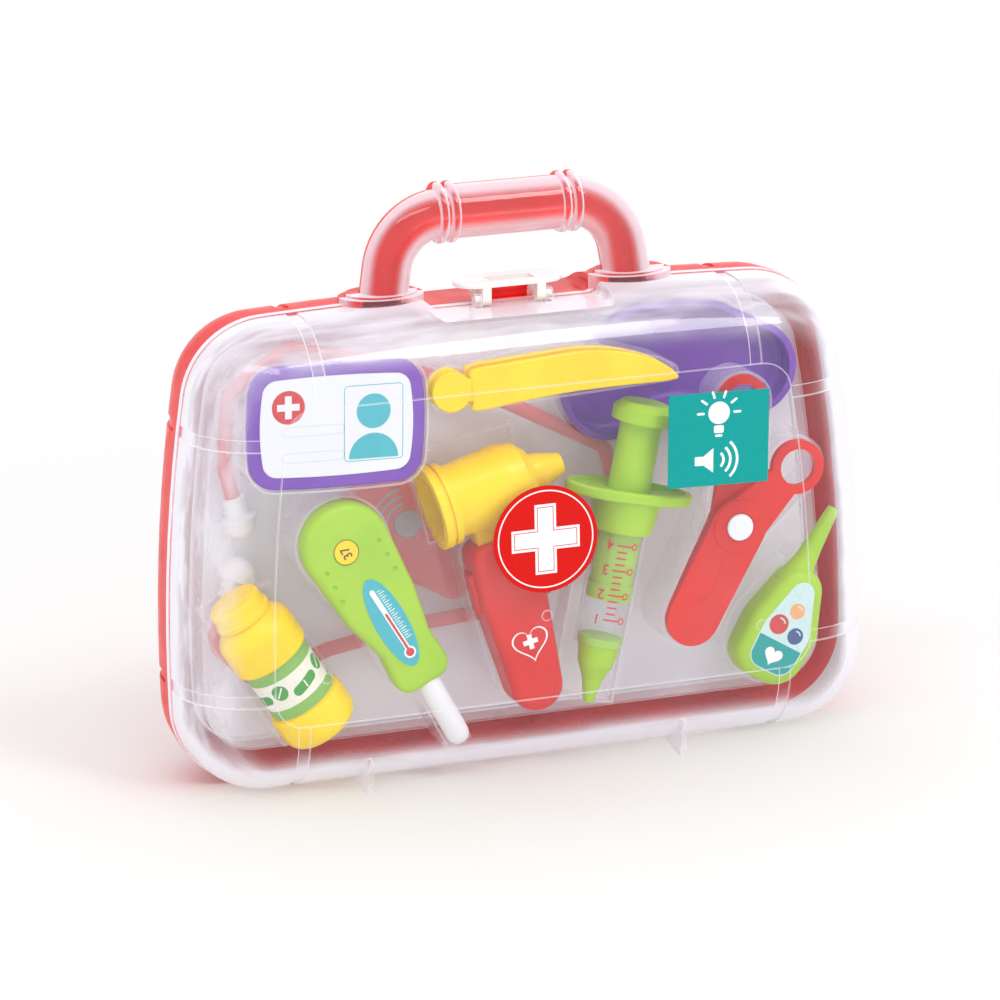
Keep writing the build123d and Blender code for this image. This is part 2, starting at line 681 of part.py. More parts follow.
def stethoscope_eartips():
    """Both soft tips, each over the end of its tube."""
    return Compound(children=[ear_tip(HIGH_ROUTE), ear_tip(LOW_ROUTE)])


def chest_piece_block():
    """Outer form of the chest piece in place."""
    front, back = CHEST_FRONT - CHEST.y, CHEST_BACK - CHEST.y
    body = slab(disc_hull(CHEST_DISCS), back, front)
    return CHEST.place(fillet(front_edges(body), 3.0))


def chest_piece():
    """Teardrop front of the chest piece: a shell open behind, with a well for its button."""
    x, z = CHEST_BUTTON
    front = CHEST_FRONT - CHEST.y
    back = CHEST_BACK - CHEST.y
    room = slab(disc_hull(CHEST_DISCS, -CHEST_WALL), back + 1, front + CHEST_WALL)
    boss = slab(Pos(x, z) * Circle(CHEST_BUTTON_RADIUS + CHEST_WALL), front + CHEST_WELL + 1, front + 1)
    well = slab(Pos(x, z) * Circle(CHEST_BUTTON_RADIUS + BUTTON_FIT), front + CHEST_WELL, front - 1)
    return chest_piece_block() - CHEST.place(room) + CHEST.place(boss) - CHEST.place(well)


def chest_cover():
    """Plate that closes the back of the chest piece."""
    back = CHEST_BACK - CHEST.y
    plate = slab(disc_hull(CHEST_DISCS, -CHEST_WALL - 0.1), back, back - CHEST_WALL)
    return CHEST.place(plate)


def chest_axis(reach):
    """Point on the line from the round end of the chest piece to its tail."""
    (x0, z0, _), (x1, z1, _) = CHEST_DISCS
    span = math.hypot(x1 - x0, z1 - z0)
    return (x0 + (x1 - x0) * reach / span, z0 + (z1 - z0) * reach / span)


def chest_speaker():
    """Small round speaker against the cover."""
    x, z = chest_axis(CHEST_SPEAKER_AT)
    back = CHEST_BACK - CHEST.y - CHEST_WALL
    drum = slab(Pos(x, z) * Circle(CHEST_SPEAKER_RADIUS), back, back - CHEST_SPEAKER_THICK)
    magnet = slab(Pos(x, z) * Circle(CHEST_SPEAKER_RADIUS / 2), back, back - CHEST_SPEAKER_THICK - 1.4)
    return CHEST.place(drum + magnet)


def chest_cells():
    """Two button cells side by side in the tail of the chest piece."""
    radius, thick = CELL
    back = CHEST_BACK - CHEST.y - CHEST_WALL - 0.2
    first = CHEST_SPEAKER_AT + CHEST_SPEAKER_RADIUS + radius + 0.4
    cells = []
    for n in range(2):
        spot = chest_axis(first + n * (2 * radius + 0.4))
        cells.append(CHEST.place(slab(Pos(*spot) * Circle(radius), back, back - thick)))
    return Compound(children=cells)


def chest_button():
    """Sound button that stands a little proud of the chest piece."""
    x, z = CHEST_BUTTON
    front = CHEST_FRONT - CHEST.y
    cap = slab(Pos(x, z) * Circle(CHEST_BUTTON_RADIUS), front + CHEST_WELL - CHEST_TRAVEL - 0.2, front - 0.9)
    return CHEST.place(fillet(front_edges(cap), 0.8))


# ------------------------------------------------------------------ otoscope
OTOSCOPE = Seat(x=-44.4, up=119.0, y=-23.5, lean=-13.4)
OTO_PROFILE = [(0, 18.8), (3.6, 18.8), (3.6, 17.2), (5.0, 17.2), (5.0, 18.3), (7.8, 18.3), (7.8, 16.4),
               (12.0, 16.2), (34.0, 17.6), (42.0, 16.0), (46.5, 11.5), (46.5, 0)]
OTO_BORE_RADIUS = 14.6
OTO_BORE_DEEP = 9.0
OTO_LENS_THICK = 2.0
OTO_SPIGOT = (5.0, 4.0)   # radius and length of the stub that the cone sits on
OTO_CONE_RADII = (8.6, 4.6)
OTO_CONE_LENGTH = 15.0
OTO_CONE_WALL = 1.6
OTO_LAMP_RADIUS = 2.5
OTO_LAMP_LENGTH = 6.0
OTO_NECK_X = 20.5
OTO_NECK_HALF = 5.5
OTO_NECK_END = -23.0
OTO_HANDLE_X = 24.0
OTO_HANDLE_DISCS = [(-7.5, -28.0, 6.5), (9.0, -28.0, 6.5), (0.0, -50.0, 15.0), (0.0, -91.0, 11.8)]
OTO_HANDLE_THICK = 22.0
OTO_HANDLE_WALL = 2.2
OTO_BUTTON_Z = (-52.0, -34.0)
OTO_BUTTON_PROUD = 1.8
OTO_BUTTON_WIDE = 8.0
OTO_TRAVEL = 1.4
OTO_CELLS = 3


def lathe_x(points):
    """Solid of revolution about X from (x, radius) points."""
    if points[0][1] > 0 and points[-1][1] == 0:
        points = [(points[0][0], 0)] + points
    face = make_face(Polyline(*points, close=True))
    return revolve(face, Axis.X)


def otoscope_head():
    """Ringed barrel, open at the eye end, with the stub for the cone and the neck below."""
    head = lathe_x(OTO_PROFILE)
    head -= lathe_x([(-1, OTO_BORE_RADIUS), (OTO_BORE_DEEP, OTO_BORE_RADIUS), (OTO_BORE_DEEP, 0)])
    radius, length = OTO_SPIGOT
    end = OTO_PROFILE[-1][0]
    head += lathe_x([(end - 1, radius), (end + length, radius), (end + length, 0)])
    neck = box_between((OTO_NECK_X - OTO_NECK_HALF, OTO_NECK_X + OTO_NECK_HALF),
                       (-OTO_NECK_HALF, OTO_NECK_HALF), (OTO_NECK_END, -12.0))
    return OTOSCOPE.place(head + neck) - otoscope_lamp()


def otoscope_lens():
    """Clear window in the eye end."""
    face = [(OTO_BORE_DEEP - OTO_LENS_THICK, OTO_BORE_RADIUS), (OTO_BORE_DEEP, OTO_BORE_RADIUS),
            (OTO_BORE_DEEP, 0)]
    return OTOSCOPE.place(lathe_x(face))


def otoscope_cone():
    """Ear cone, hollow, pushed over the barrel's stub."""
    start = OTO_PROFILE[-1][0]
    seat, grip = OTO_SPIGOT
    wide, narrow = OTO_CONE_RADII
    end = start + OTO_CONE_LENGTH
    fit = seat + BUTTON_FIT
    cone = lathe_x([(start, wide), (start + grip, wide - 0.4), (end, narrow), (end, narrow - OTO_CONE_WALL),
                    (start + grip, fit), (start, fit)])
    return OTOSCOPE.place(cone)


def otoscope_lamp():
    """Lamp with a round nose, let into the stub so that it shines out of the cone."""
    end = OTO_PROFILE[-1][0] + OTO_SPIGOT[1]
    stem = Rot(0, 90, 0) * Cylinder(OTO_LAMP_RADIUS, OTO_LAMP_LENGTH)
    nose = Pos(end, 0, 0) * Sphere(OTO_LAMP_RADIUS)
    return OTOSCOPE.place(Pos(end - OTO_LAMP_LENGTH / 2, 0, 0) * stem + nose)


def otoscope_handle():
    """Red grip with a room for the cells, a socket for the neck and a slot for the button."""
    outline = disc_hull(OTO_HANDLE_DISCS)
    grip = Pos(OTO_HANDLE_X, 0, 0) * pebble(outline, OTO_HANDLE_THICK, 4.5)
    neck = box_between((OTO_NECK_X - OTO_NECK_HALF, OTO_NECK_X + OTO_NECK_HALF),
                       (-OTO_NECK_HALF, OTO_NECK_HALF), (OTO_NECK_END, -12.0))
    radius, thick = CELL
    stack = OTO_CELLS * thick
    room = Pos(OTO_HANDLE_X, 0, -78.0) * Cylinder(radius + 0.3, stack + 0.4)
    low, high = OTO_BUTTON_Z
    reach = OTO_HANDLE_X - 7.0
    slot = box_between((0, reach), (-OTO_BUTTON_WIDE / 2 - BUTTON_FIT, OTO_BUTTON_WIDE / 2 + BUTTON_FIT),
                       (low - BUTTON_FIT, high + BUTTON_FIT))
    return OTOSCOPE.place(grip - neck - room - slot)


def otoscope_button():
    """Light button in the side of the grip, under the barrel."""
    low, high = OTO_BUTTON_Z
    side = OTO_HANDLE_X - 15.0
    block = box_between((side - OTO_BUTTON_PROUD, OTO_HANDLE_X - 7.0 - OTO_TRAVEL - 0.3),
                        (-OTO_BUTTON_WIDE / 2, OTO_BUTTON_WIDE / 2), (low, high))
    outer = block.faces().sort_by(Axis.X)[0].edges()
    return OTOSCOPE.place(fillet(outer, 1.4))


def otoscope_cells():
    """Button cells stacked in the grip."""
    radius, thick = CELL
    cells = []
    for n in range(OTO_CELLS):
        z = -78.0 + (n - (OTO_CELLS - 1) / 2) * thick
        cell = Pos(OTO_HANDLE_X, 0, z) * Cylinder(radius, thick - 0.1)
        cells.append(OTOSCOPE.place(cell))
    return Compound(children=cells)


# ------------------------------------------------------------------ syringe
SYRINGE = Seat(x=25.4, up=23.5, y=-25.0, lean=12.4)
SYR_NOZZLE = [(2.4, 0), (4.4, 13.0), (7.2, 14.0), (8.6, 15.5), (8.8, 27.0)]
SYR_BARREL = (26.5, 84.0)
SYR_RADIUS = 11.6
SYR_BORE = 10.3
SYR_COLLAR = [(13.4, 79.0), (15.4, 93.5)]
SYR_FLANGE = (93.5, 97.0)
SYR_FLANGE_HALF = (29.6, 16.8)
SYR_LIP = 1.6
SYR_ROD = 9.4
SYR_SLIDE_FIT = 0.2
SYR_PISTON = (48.0, 55.0)
SYR_CAP = (128.0, 136.5)
SYR_CAP_RADIUS = 13.5
SYR_TRAVEL = 20.0


def syringe_nozzle():
    """Green nozzle that closes the lower end of the barrel."""
    low, _ = SYR_BARREL
    points = [(0, 0)] + SYR_NOZZLE + [(SYR_BORE - 0.5, low + 0.5), (SYR_BORE - 0.5, low + 4), (0, low + 4)]
    tip = turned(*points)
    return SYRINGE.place(tip)


def syringe_barrel():
    """Clear barrel."""
    low, high = SYR_BARREL
    tube = turned((SYR_BORE, low + 0.5), (SYR_RADIUS, low + 0.5), (SYR_RADIUS, high), (SYR_BORE, high))
    return SYRINGE.place(tube)


def syringe_flange():
    """Green collar with the oval finger flange, raised at its rim."""
    (r_low, z_low), (r_high, z_high) = SYR_COLLAR
    collar = turned((SYR_RADIUS, z_low), (r_low, z_low), (r_high, z_high), (SYR_RADIUS, z_high))
    low, high = SYR_FLANGE
    wide, deep = SYR_FLANGE_HALF
    plate = extrude(Plane.XY.offset(low) * Ellipse(wide, deep), high - low + SYR_LIP)
    plate = fillet(plate.edges(), 1.2)
    dished = extrude(Plane.XY.offset(high) * Ellipse(wide - 3, deep - 3), SYR_LIP + 1)
    body = collar + plate - dished
    body -= Pos(0, 0, (z_low + high) / 2) * Cylinder(SYR_ROD + SYR_SLIDE_FIT, 60)
    barrel_low, barrel_high = SYR_BARREL
    body -= turned((0, barrel_low), (SYR_RADIUS, barrel_low), (SYR_RADIUS, barrel_high), (0, barrel_high))
    return SYRINGE.place(body)


def syringe_plunger():
    """Green plunger: piston, rod and thumb cap in one."""
    low, high = SYR_PISTON
    cap_low, cap_high = SYR_CAP
    seal = SYR_BORE - SYR_SLIDE_FIT
    body = turned((0, low), (seal, low), (seal, high), (SYR_ROD, high), (SYR_ROD, cap_low),
                  (SYR_CAP_RADIUS, cap_low), (SYR_CAP_RADIUS, cap_high - 3), (SYR_CAP_RADIUS - 3.5, cap_high),
                  (0, cap_high))
    return SYRINGE.place(body)


# ------------------------------------------------------------------ scissors
SCISSORS = Seat(x=94.9, up=97.9, y=-30.0)
SCISSOR_THICK = 3.4
SCISSOR_GAP = 0.25
RING_NEAR = (28.0, 24.1)
RING_FAR = (3.6, 55.3)
RING_OUTER = 12.2
RING_HOLE = 8.2
BLADE_ROOT = 13.0
BLADE_TIP_FRONT = (-22.2, -39.8, 12.3)
BLADE_TIP_BACK = (-20.2, -39.0, 12.3)
SHANK_HALF = 6.5
PIVOT_RADIUS = 3.0
PIVOT_HEAD = 6.0
PIVOT_FIT = 0.08
SCISSOR_OPEN = 12.0


def scissor_half(ring, tip, back):
    """One half: broad blunt blade, shank and finger ring; back is the y of its rear face."""
    blade = disc_hull([(0.0, 0.0, BLADE_ROOT), tip])
    shank = disc_hull([(0.0, 0.0, BLADE_ROOT - 1.0), (ring[0], ring[1], SHANK_HALF)])
    loop = Pos(*ring) * Circle(RING_OUTER)
    hole = Pos(*ring) * Circle(RING_HOLE)
    bore = Circle(PIVOT_RADIUS + PIVOT_FIT)
    face = blade + shank + loop - hole - bore
    return SCISSORS.place(slab(face, back, back - SCISSOR_THICK))


def scissors_front_half():
    """Half with the near ring, which swings about the pivot."""
    return scissor_half(RING_NEAR, BLADE_TIP_FRONT, -SCISSOR_GAP / 2)


def scissors_back_half():
    """Half with the far ring."""
    return scissor_half(RING_FAR, BLADE_TIP_BACK, SCISSOR_THICK + SCISSOR_GAP / 2)


def scissors_pivot():
    """White rivet with a flat round head on each side."""
    reach = SCISSOR_THICK + SCISSOR_GAP / 2
    stem = slab(Circle(PIVOT_RADIUS), reach + 1.2, -reach - SCISSOR_GAP - 1.3)
    head = slab(Circle(PIVOT_HEAD), -reach - SCISSOR_GAP, -reach - SCISSOR_GAP - 1.3)
    foot = slab(Circle(PIVOT_HEAD), reach + 1.2, reach + 0.1)
    return SCISSORS.place(stem + fillet(front_edges(head), 0.6) + foot)


# ------------------------------------------------------------------ squeeze bulb
BULB = Seat(x=116.5, up=41.5, y=-20.0, lean=25.1)
BULB_BODY = [(0.0, 0.0, 21.3), (0.0, 23.0, 12.0)]
BULB_NECK = [(0.0, 24.0, 8.0), (0.0, 38.0, 4.6)]
BULB_SPOUT = [(0.0, 36.0, 4.6), (0.0, 61.0, 2.6)]
BULB_THICK = 18.0
BULB_LABEL_HALF = (14.2, 21.5)
BULB_LABEL_X = 1.0
BULB_LABEL_Z = 4.5


def squeeze_bulb():
    """Green bulb with a tapering spout; the top of the spout is open."""
    body = pebble(disc_hull(BULB_BODY), BULB_THICK, 6.0)
    neck = turned((0, 20), (8.5, 20), (5.0, 36), (4.2, 44), (2.6, 63.5), (0, 63.5))
    bore = Pos(0, 0, 60) * Cylinder(1.4, 10)
    return BULB.place(body + neck - bore)


def bulb_label():
    """Oval label on the front of the bulb."""
    wide, high = BULB_LABEL_HALF
    face = (Pos(BULB_LABEL_X, BULB_LABEL_Z) * Ellipse(wide, high)) & disc_hull(BULB_BODY, -6.2)
    return BULB.place(slab(face, -BULB_THICK / 2, -BULB_THICK / 2 - LABEL_THICK))


# ------------------------------------------------------------------ thermometer
THERMOMETER = Seat(x=-65.8, up=71.9, y=-30.0, lean=-27.3)
THERMO_HEAD = [(-1.0, 42.5, 19.5), (0.0, -4.0, 11.8)]
THERMO_FOOT = [(0.0, -4.0, 11.8), (-5.0, -26.5, 6.0), (5.0, -26.5, 6.0)]
THERMO_THICK = 13.0
THERMO_DIAL = (-2.7, 41.6)
THERMO_DIAL_RADIUS = 5.3
THERMO_DIAL_WELL = 2.0
THERMO_DIAL_PROUD = 0.7
THERMO_ROOT = -27.0
THERMO_PROBE = [(4.2, -33.0), (4.0, -35.0), (3.1, -62.0)]
THERMO_END = -65.1
THERMO_LABEL_HALF = (7.6, 20.5)
DIMPLE_RADIUS = 1.3
DIMPLE_PITCH = 9.5


def thermometer_body():
    """Green body: a broad head, a narrower foot, grip dimples and wells for dial and probe."""
    face = disc_hull(THERMO_HEAD) + disc_hull(THERMO_FOOT)
    body = pebble(face, THERMO_THICK, 3.5)
    front = -THERMO_THICK / 2
    x, z = THERMO_DIAL
    body -= slab(Pos(x, z) * Circle(THERMO_DIAL_RADIUS + PIVOT_FIT), front + THERMO_DIAL_WELL, front - 1)
    root = THERMO_PROBE[0][0]
    body -= turned((0, THERMO_ROOT), (root, THERMO_ROOT), (root, THERMO_ROOT - 10), (0, THERMO_ROOT - 10))
    for side in (-1, 1):
        for n in range(3):
            z = 30.0 - n * DIMPLE_PITCH
            x = side * (11.6 - n * 1.6) - 0.6
            body -= Pos(x, front, z) * Sphere(DIMPLE_RADIUS)
    return THERMOMETER.place(body)


def thermometer_dial():
    """Yellow dial that turns in its well."""
    front = -THERMO_THICK / 2
    x, z = THERMO_DIAL
    floor = front + THERMO_DIAL_WELL - 0.05
    dial = slab(Pos(x, z) * Circle(THERMO_DIAL_RADIUS), floor, front - THERMO_DIAL_PROUD)
    return THERMOMETER.place(fillet(front_edges(dial), 0.5))


def thermometer_probe():
    """White probe with a round end, set in the foot of the body."""
    root = THERMO_PROBE[0][0]
    tip_radius, tip_z = THERMO_PROBE[-1]
    probe = turned((0, THERMO_ROOT), (root, THERMO_ROOT), *THERMO_PROBE, (0, tip_z))
    return THERMOMETER.place(probe + Pos(0, 0, tip_z) * Sphere(tip_radius))


def thermometer_label():
    """Oval label on the front."""
    front = -THERMO_THICK / 2
    return THERMOMETER.place(slab(Ellipse(*THERMO_LABEL_HALF), front, front - LABEL_THICK))


# ------------------------------------------------------------------ pill bottle
BOTTLE = Seat(x=-114.6, up=56.8, y=-21.0, lean=-32.5)
BOTTLE_TOP = 36.5
BOTTLE_LOW = -36.5
BOTTLE_BULGE = 16.7
BOTTLE_WAIST = 15.0
WAIST_TOP = 5.0
CAP_RADIUS = 12.0
CAP_HEIGHT = 9.5
CAP_WALL = 1.5
NECK_RADIUS = 9.0
NECK_TOP_GAP = 1.0
CAP_FIT = 0.1
CAP_RIBS = 18
CAP_RIB = 6.5


def bottle_body():
    """Yellow bottle: neck, bulging shoulder, straight waist for the label, bulging foot, open inside."""
    neck_low = BOTTLE_TOP - CAP_HEIGHT - 0.4
    neck_top = BOTTLE_TOP - CAP_WALL - NECK_TOP_GAP
    bore = NECK_RADIUS - 1.5
    room = BOTTLE_WAIST - 2
    foot = [(0, BOTTLE_LOW), (BOTTLE_BULGE - 4.5, BOTTLE_LOW), (BOTTLE_BULGE - 1.2, BOTTLE_LOW + 2.6),
            (BOTTLE_BULGE, BOTTLE_LOW + 6.5), (BOTTLE_BULGE, BOTTLE_LOW + 12)]
    waist = [(BOTTLE_WAIST + 0.6, BOTTLE_LOW + 17), (BOTTLE_WAIST, BOTTLE_LOW + 17),
             (BOTTLE_WAIST, WAIST_TOP), (BOTTLE_WAIST + 0.6, WAIST_TOP)]
    shoulder = [(BOTTLE_BULGE, WAIST_TOP + 4.5), (BOTTLE_BULGE, WAIST_TOP + 12),
                (BOTTLE_BULGE - 2.0, WAIST_TOP + 17.5), (CAP_RADIUS - 1.0, neck_low)]
    neck = [(NECK_RADIUS, neck_low), (NECK_RADIUS, neck_top), (bore, neck_top)]
    inside = [(bore, neck_low - 2), (room, WAIST_TOP + 10), (room, BOTTLE_LOW + 3), (0, BOTTLE_LOW + 3)]
    return BOTTLE.place(turned(*foot, *waist, *shoulder, *neck, *inside))


def bottle_cap():
    """Yellow screw cap with ribs for the fingers."""
    low, high = BOTTLE_TOP - CAP_HEIGHT, BOTTLE_TOP
    inner = NECK_RADIUS + CAP_FIT
    cap = turned((0, high - CAP_WALL), (inner, high - CAP_WALL), (inner, low), (CAP_RADIUS, low),
                 (CAP_RADIUS, high - 1.5), (CAP_RADIUS - 1.5, high), (0, high))
    rib = Pos(CAP_RADIUS, 0, low + CAP_RIB / 2) * Box(1.0, 1.4, CAP_RIB)
    for n in range(CAP_RIBS):
        cap += Rot(0, 0, n * 360 / CAP_RIBS) * rib
    return BOTTLE.place(cap)


def bottle_label():
    """Label wrapped round the waist."""
    low, high = BOTTLE_LOW + 17.2, WAIST_TOP - 0.2
    outside = BOTTLE_WAIST + LABEL_THICK
    sleeve = turned((BOTTLE_WAIST, low), (outside, low), (outside, high), (BOTTLE_WAIST, high))
    return BOTTLE.place(sleeve)


# ------------------------------------------------------------------ card, tray and stickers
def backing_card():
    """Printed card with its four sides folded back to the round flank of the back shell."""
    wall_reach = FLANK_RADIUS - WALL
    side_reach = FLANK_RADIUS - CARD_INSET
    fold = HALF_DEPTH - FLANK_RADIUS + math.sqrt(wall_reach**2 - side_reach**2) - CARD_THICK
    block = slab(case_outline(CARD_INSET), fold, CARD_FRONT)
    room = slab(case_outline(CARD_INSET + CARD_THICK), fold + 1, CARD_FRONT + CARD_THICK)
    return block - room


def toy_spots(grow):
    """Outline of each cradle drawn out by grow, with the depths of the toy's back and front."""
    def barrel(low, high, radius):
        return Pos(0, (low + high) / 2) * Rectangle(2 * (radius + grow), high - low + 2 * grow)

    oto_length = OTO_PROFILE[-1][0]
    oto_radius = OTO_PROFILE[0][1]
    oto_barrel = Pos(oto_length / 2, 0) * Rectangle(oto_length + 2 * grow, 2 * (oto_radius + grow))
    grip = Pos(OTO_HANDLE_X, 0) * disc_hull(OTO_HANDLE_DISCS, grow)
    syringe_top = SYR_COLLAR[0][1]
    near = disc_hull([(0.0, 0.0, BLADE_ROOT), (RING_NEAR[0], RING_NEAR[1], RING_OUTER)], grow)
    far = disc_hull([(0.0, 0.0, BLADE_ROOT), (RING_FAR[0], RING_FAR[1], RING_OUTER)], grow)
    blades = disc_hull([(0.0, 0.0, BLADE_ROOT), BLADE_TIP_FRONT, BLADE_TIP_BACK], grow)
    bottle = barrel(BOTTLE_LOW, BOTTLE_TOP - CAP_HEIGHT, BOTTLE_BULGE)
    bottle += barrel(0, BOTTLE_TOP, CAP_RADIUS + 0.6)
    head = disc_hull(THERMO_HEAD, grow) + disc_hull(THERMO_FOOT, grow)
    probe = barrel(THERMO_END, THERMO_ROOT, THERMO_PROBE[0][0])
    tweezers = disc_hull([TWEEZER_ROOT], grow) + disc_hull(TWEEZER_BLADE, grow)
    rivet = SCISSOR_THICK + SCISSOR_GAP + 1.2
    half_tweezers = TWEEZER_GAP / 2 + TWEEZER_THICK
    return [
        (BADGE, badge_outline(-grow), BADGE_THICK / 2),
        (TWEEZERS, tweezers, half_tweezers),
        (OTOSCOPE, oto_barrel, oto_radius),
        (OTOSCOPE, grip, OTO_HANDLE_THICK / 2),
        (SYRINGE, barrel(0, syringe_top, SYR_COLLAR[0][0]), SYR_RADIUS),
        (SCISSORS, near + far + blades, rivet),
        (BULB, disc_hull(BULB_BODY, grow) + disc_hull(BULB_NECK, grow), BULB_THICK / 2),
        (THERMOMETER, head + probe, THERMO_THICK / 2),
        (BOTTLE, bottle, BOTTLE_BULGE),
    ]


def toy_tray():
    """Clear formed tray: a flat, a border that stands on the card, and a raised cradle per toy."""
    flat_front = SHEET_BACK - TRAY_SKIN
    edge = CARD_INSET + TRAY_LAND
    tray = slab(case_outline(edge), SHEET_BACK, flat_front)
    border = case_outline(edge) - case_outline(edge + TRAY_SKIN)
    tray += slab(border, CARD_FRONT, flat_front)
    inner = toy_spots(TRAY_CLEAR)
    outer = toy_spots(TRAY_CLEAR + TRAY_SKIN)
    for (seat, face, half), (_, wide, _) in zip(inner, outer):
        back = seat.y + half + TRAY_FLOOR_GAP
        tray += slab(seat.spot(wide), SHEET_BACK, back - TRAY_GRIP)
    for seat, face, half in inner:
        back = seat.y + half + TRAY_FLOOR_GAP
        tray -= slab(seat.spot(face), SHEET_BACK + 1, back + TRAY_SKIN)
        tray -= slab(seat.spot(face), back, -HALF_DEPTH)
    dish_back = DISH_BACK + TRAY_FLOOR_GAP
    tray += slab(DISH.spot(kidney(DISH_LIP + TRAY_CLEAR + TRAY_SKIN)), dish_back + TRAY_SKIN, SHEET_BACK)
    tray -= slab(DISH.spot(kidney(DISH_LIP + TRAY_CLEAR)), dish_back, DISH_FRONT - TRAY_CLEAR)
    for seat, face, back, front in over_rooms():
        tray -= slab(seat.spot(face), back, front)
    return tray - flat_tube(HIGH_ROUTE, TUBE_RADIUS + TRAY_CLEAR / 2)


def over_rooms():
    """Room for the ends of toys that stand over the flat without a cradle of their own."""
    wide, deep = SYR_FLANGE_HALF
    low, high = SYR_FLANGE[0], SYR_FLANGE[1] + SYR_LIP
    flange = Pos(0, (low + high) / 2) * Rectangle(2 * (wide + TRAY_CLEAR), high - low + 2 * TRAY_CLEAR)
    rod_low, rod_high = SYR_COLLAR[0][1], SYR_CAP[1]
    cap_half = SYR_COLLAR[1][0] + TRAY_CLEAR
    rod = Pos(0, (rod_low + rod_high) / 2) * Rectangle(2 * cap_half, rod_high - rod_low + 2 * TRAY_CLEAR)
    cone_half = OTO_CONE_RADII[0] + TRAY_CLEAR
    cone_start = OTO_PROFILE[-1][0]
    cone_length = OTO_CONE_LENGTH + 2 * TRAY_CLEAR
    cone = Pos(cone_start + OTO_CONE_LENGTH / 2, 0) * Rectangle(cone_length, 2 * cone_half)
    spout_low, spout_high = BULB_NECK[0][1], BULB_SPOUT[1][1] + 2.5 + TRAY_CLEAR
    spout_half = BULB_SPOUT[0][2] + TRAY_CLEAR
    spout = Pos(0, (spout_low + spout_high) / 2) * Rectangle(2 * spout_half, spout_high - spout_low)
    return [
        (SYRINGE, flange, SYRINGE.y + deep + TRAY_CLEAR, -HALF_DEPTH),
        (SYRINGE, rod, SYRINGE.y + cap_half, -HALF_DEPTH),
        (OTOSCOPE, cone, OTOSCOPE.y + cone_half, -HALF_DEPTH),
        (BULB, spout, BULB.y + spout_half, -HALF_DEPTH),
    ]


CROSS_STICKER = Seat(x=0.0, up=106.2, y=-HALF_DEPTH + PANEL_STEP)
CROSS_STICKER_RADIUS = 23.8
CORNER_STICKER = Seat(x=80.6, up=142.4, y=-HALF_DEPTH + PANEL_STEP, lean=1.6)
CORNER_STICKER_SIZE = (46.8, 41.6)


def cross_sticker():
    """Round sticker in the middle of the front panel."""
    return CROSS_STICKER.place(slab(Circle(CROSS_STICKER_RADIUS), 0, -LABEL_THICK))


def corner_sticker():
    """Rectangular sticker in the panel's upper corner."""
    return CORNER_STICKER.place(slab(Rectangle(*CORNER_STICKER_SIZE), 0, -LABEL_THICK))


def front_shell():
    """Front half of the case, the lid."""
    trim = (-2 * HALF_WIDTH, 2 * HALF_WIDTH), (-PARTING_GAP, HALF_DEPTH), (-1, 2 * BODY_HEIGHT)
    shell = fit_hinges(plain_shell() - box_between(*trim), -1)
    for lug in latch_lugs():
        shell += lug
    return shell


def back_shell():
    """Back half of the case, with the catch for the latch."""
    return fit_hinges(turned_to_back(plain_shell()), 1) + catch()


# ------------------------------------------------------------------ every piece, by name
def all_pieces():
    return {
        "back_shell": back_shell(),
        "front_shell": front_shell(),
        "hinge_pins": hinge_pins(),
        "latch": latch(),
        "backing_card": backing_card(),
        "toy_tray": toy_tray(),
        "cross_sticker": cross_sticker(),
        "corner_sticker": corner_sticker(),
        "badge_frame": BADGE.place(badge_frame()),
        "badge_card": BADGE.place(badge_card()),
        "tweezers_back_arm": TWEEZERS.place(tweezers_back_arm()),
        "tweezers_front_arm": TWEEZERS.place(tweezers_front_arm()),
        "kidney_dish": DISH.place(kidney_dish()),
        "stethoscope_headset": stethoscope_headset(),
        "stethoscope_eartips": stethoscope_eartips(),
        "stethoscope_chest_piece": chest_piece(),
        "stethoscope_chest_cover": chest_cover(),
        "stethoscope_button": chest_button(),
        "stethoscope_speaker": chest_speaker(),
        "stethoscope_cells": chest_cells(),
        "otoscope_head": otoscope_head(),
        "otoscope_lens": otoscope_lens(),
        "otoscope_cone": otoscope_cone(),
        "otoscope_lamp": otoscope_lamp(),
        "otoscope_handle": otoscope_handle(),
        "otoscope_button": otoscope_button(),
        "otoscope_cells": otoscope_cells(),
        "syringe_barrel": syringe_barrel(),
        "syringe_flange": syringe_flange(),
        "syringe_nozzle": syringe_nozzle(),
        "syringe_plunger": syringe_plunger(),
        "scissors_front_half": scissors_front_half(),
        "scissors_back_half": scissors_back_half(),
        "scissors_pivot": scissors_pivot(),
        "squeeze_bulb": squeeze_bulb(),
        "bulb_label": bulb_label(),
        "thermometer_body": thermometer_body(),
        "thermometer_dial": thermometer_dial(),
        "thermometer_probe": thermometer_probe(),
        "thermometer_label": thermometer_label(),
        "bottle_body": bottle_body(),
        "bottle_cap": bottle_cap(),
        "bottle_label": bottle_label(),
    }


os.makedirs("parts", exist_ok=True)
for name, solid in all_pieces().items():
    export_step(solid, f"parts/{name}.step")
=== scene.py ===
"""Toy doctor case: materials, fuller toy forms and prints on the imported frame, with camera, light and floor.

A toy's own outlines are in millimetres, in its own x and z, and its seat takes them into the frame's metres.
"""
import math

import bmesh
import bpy
from mathutils import Matrix, Vector


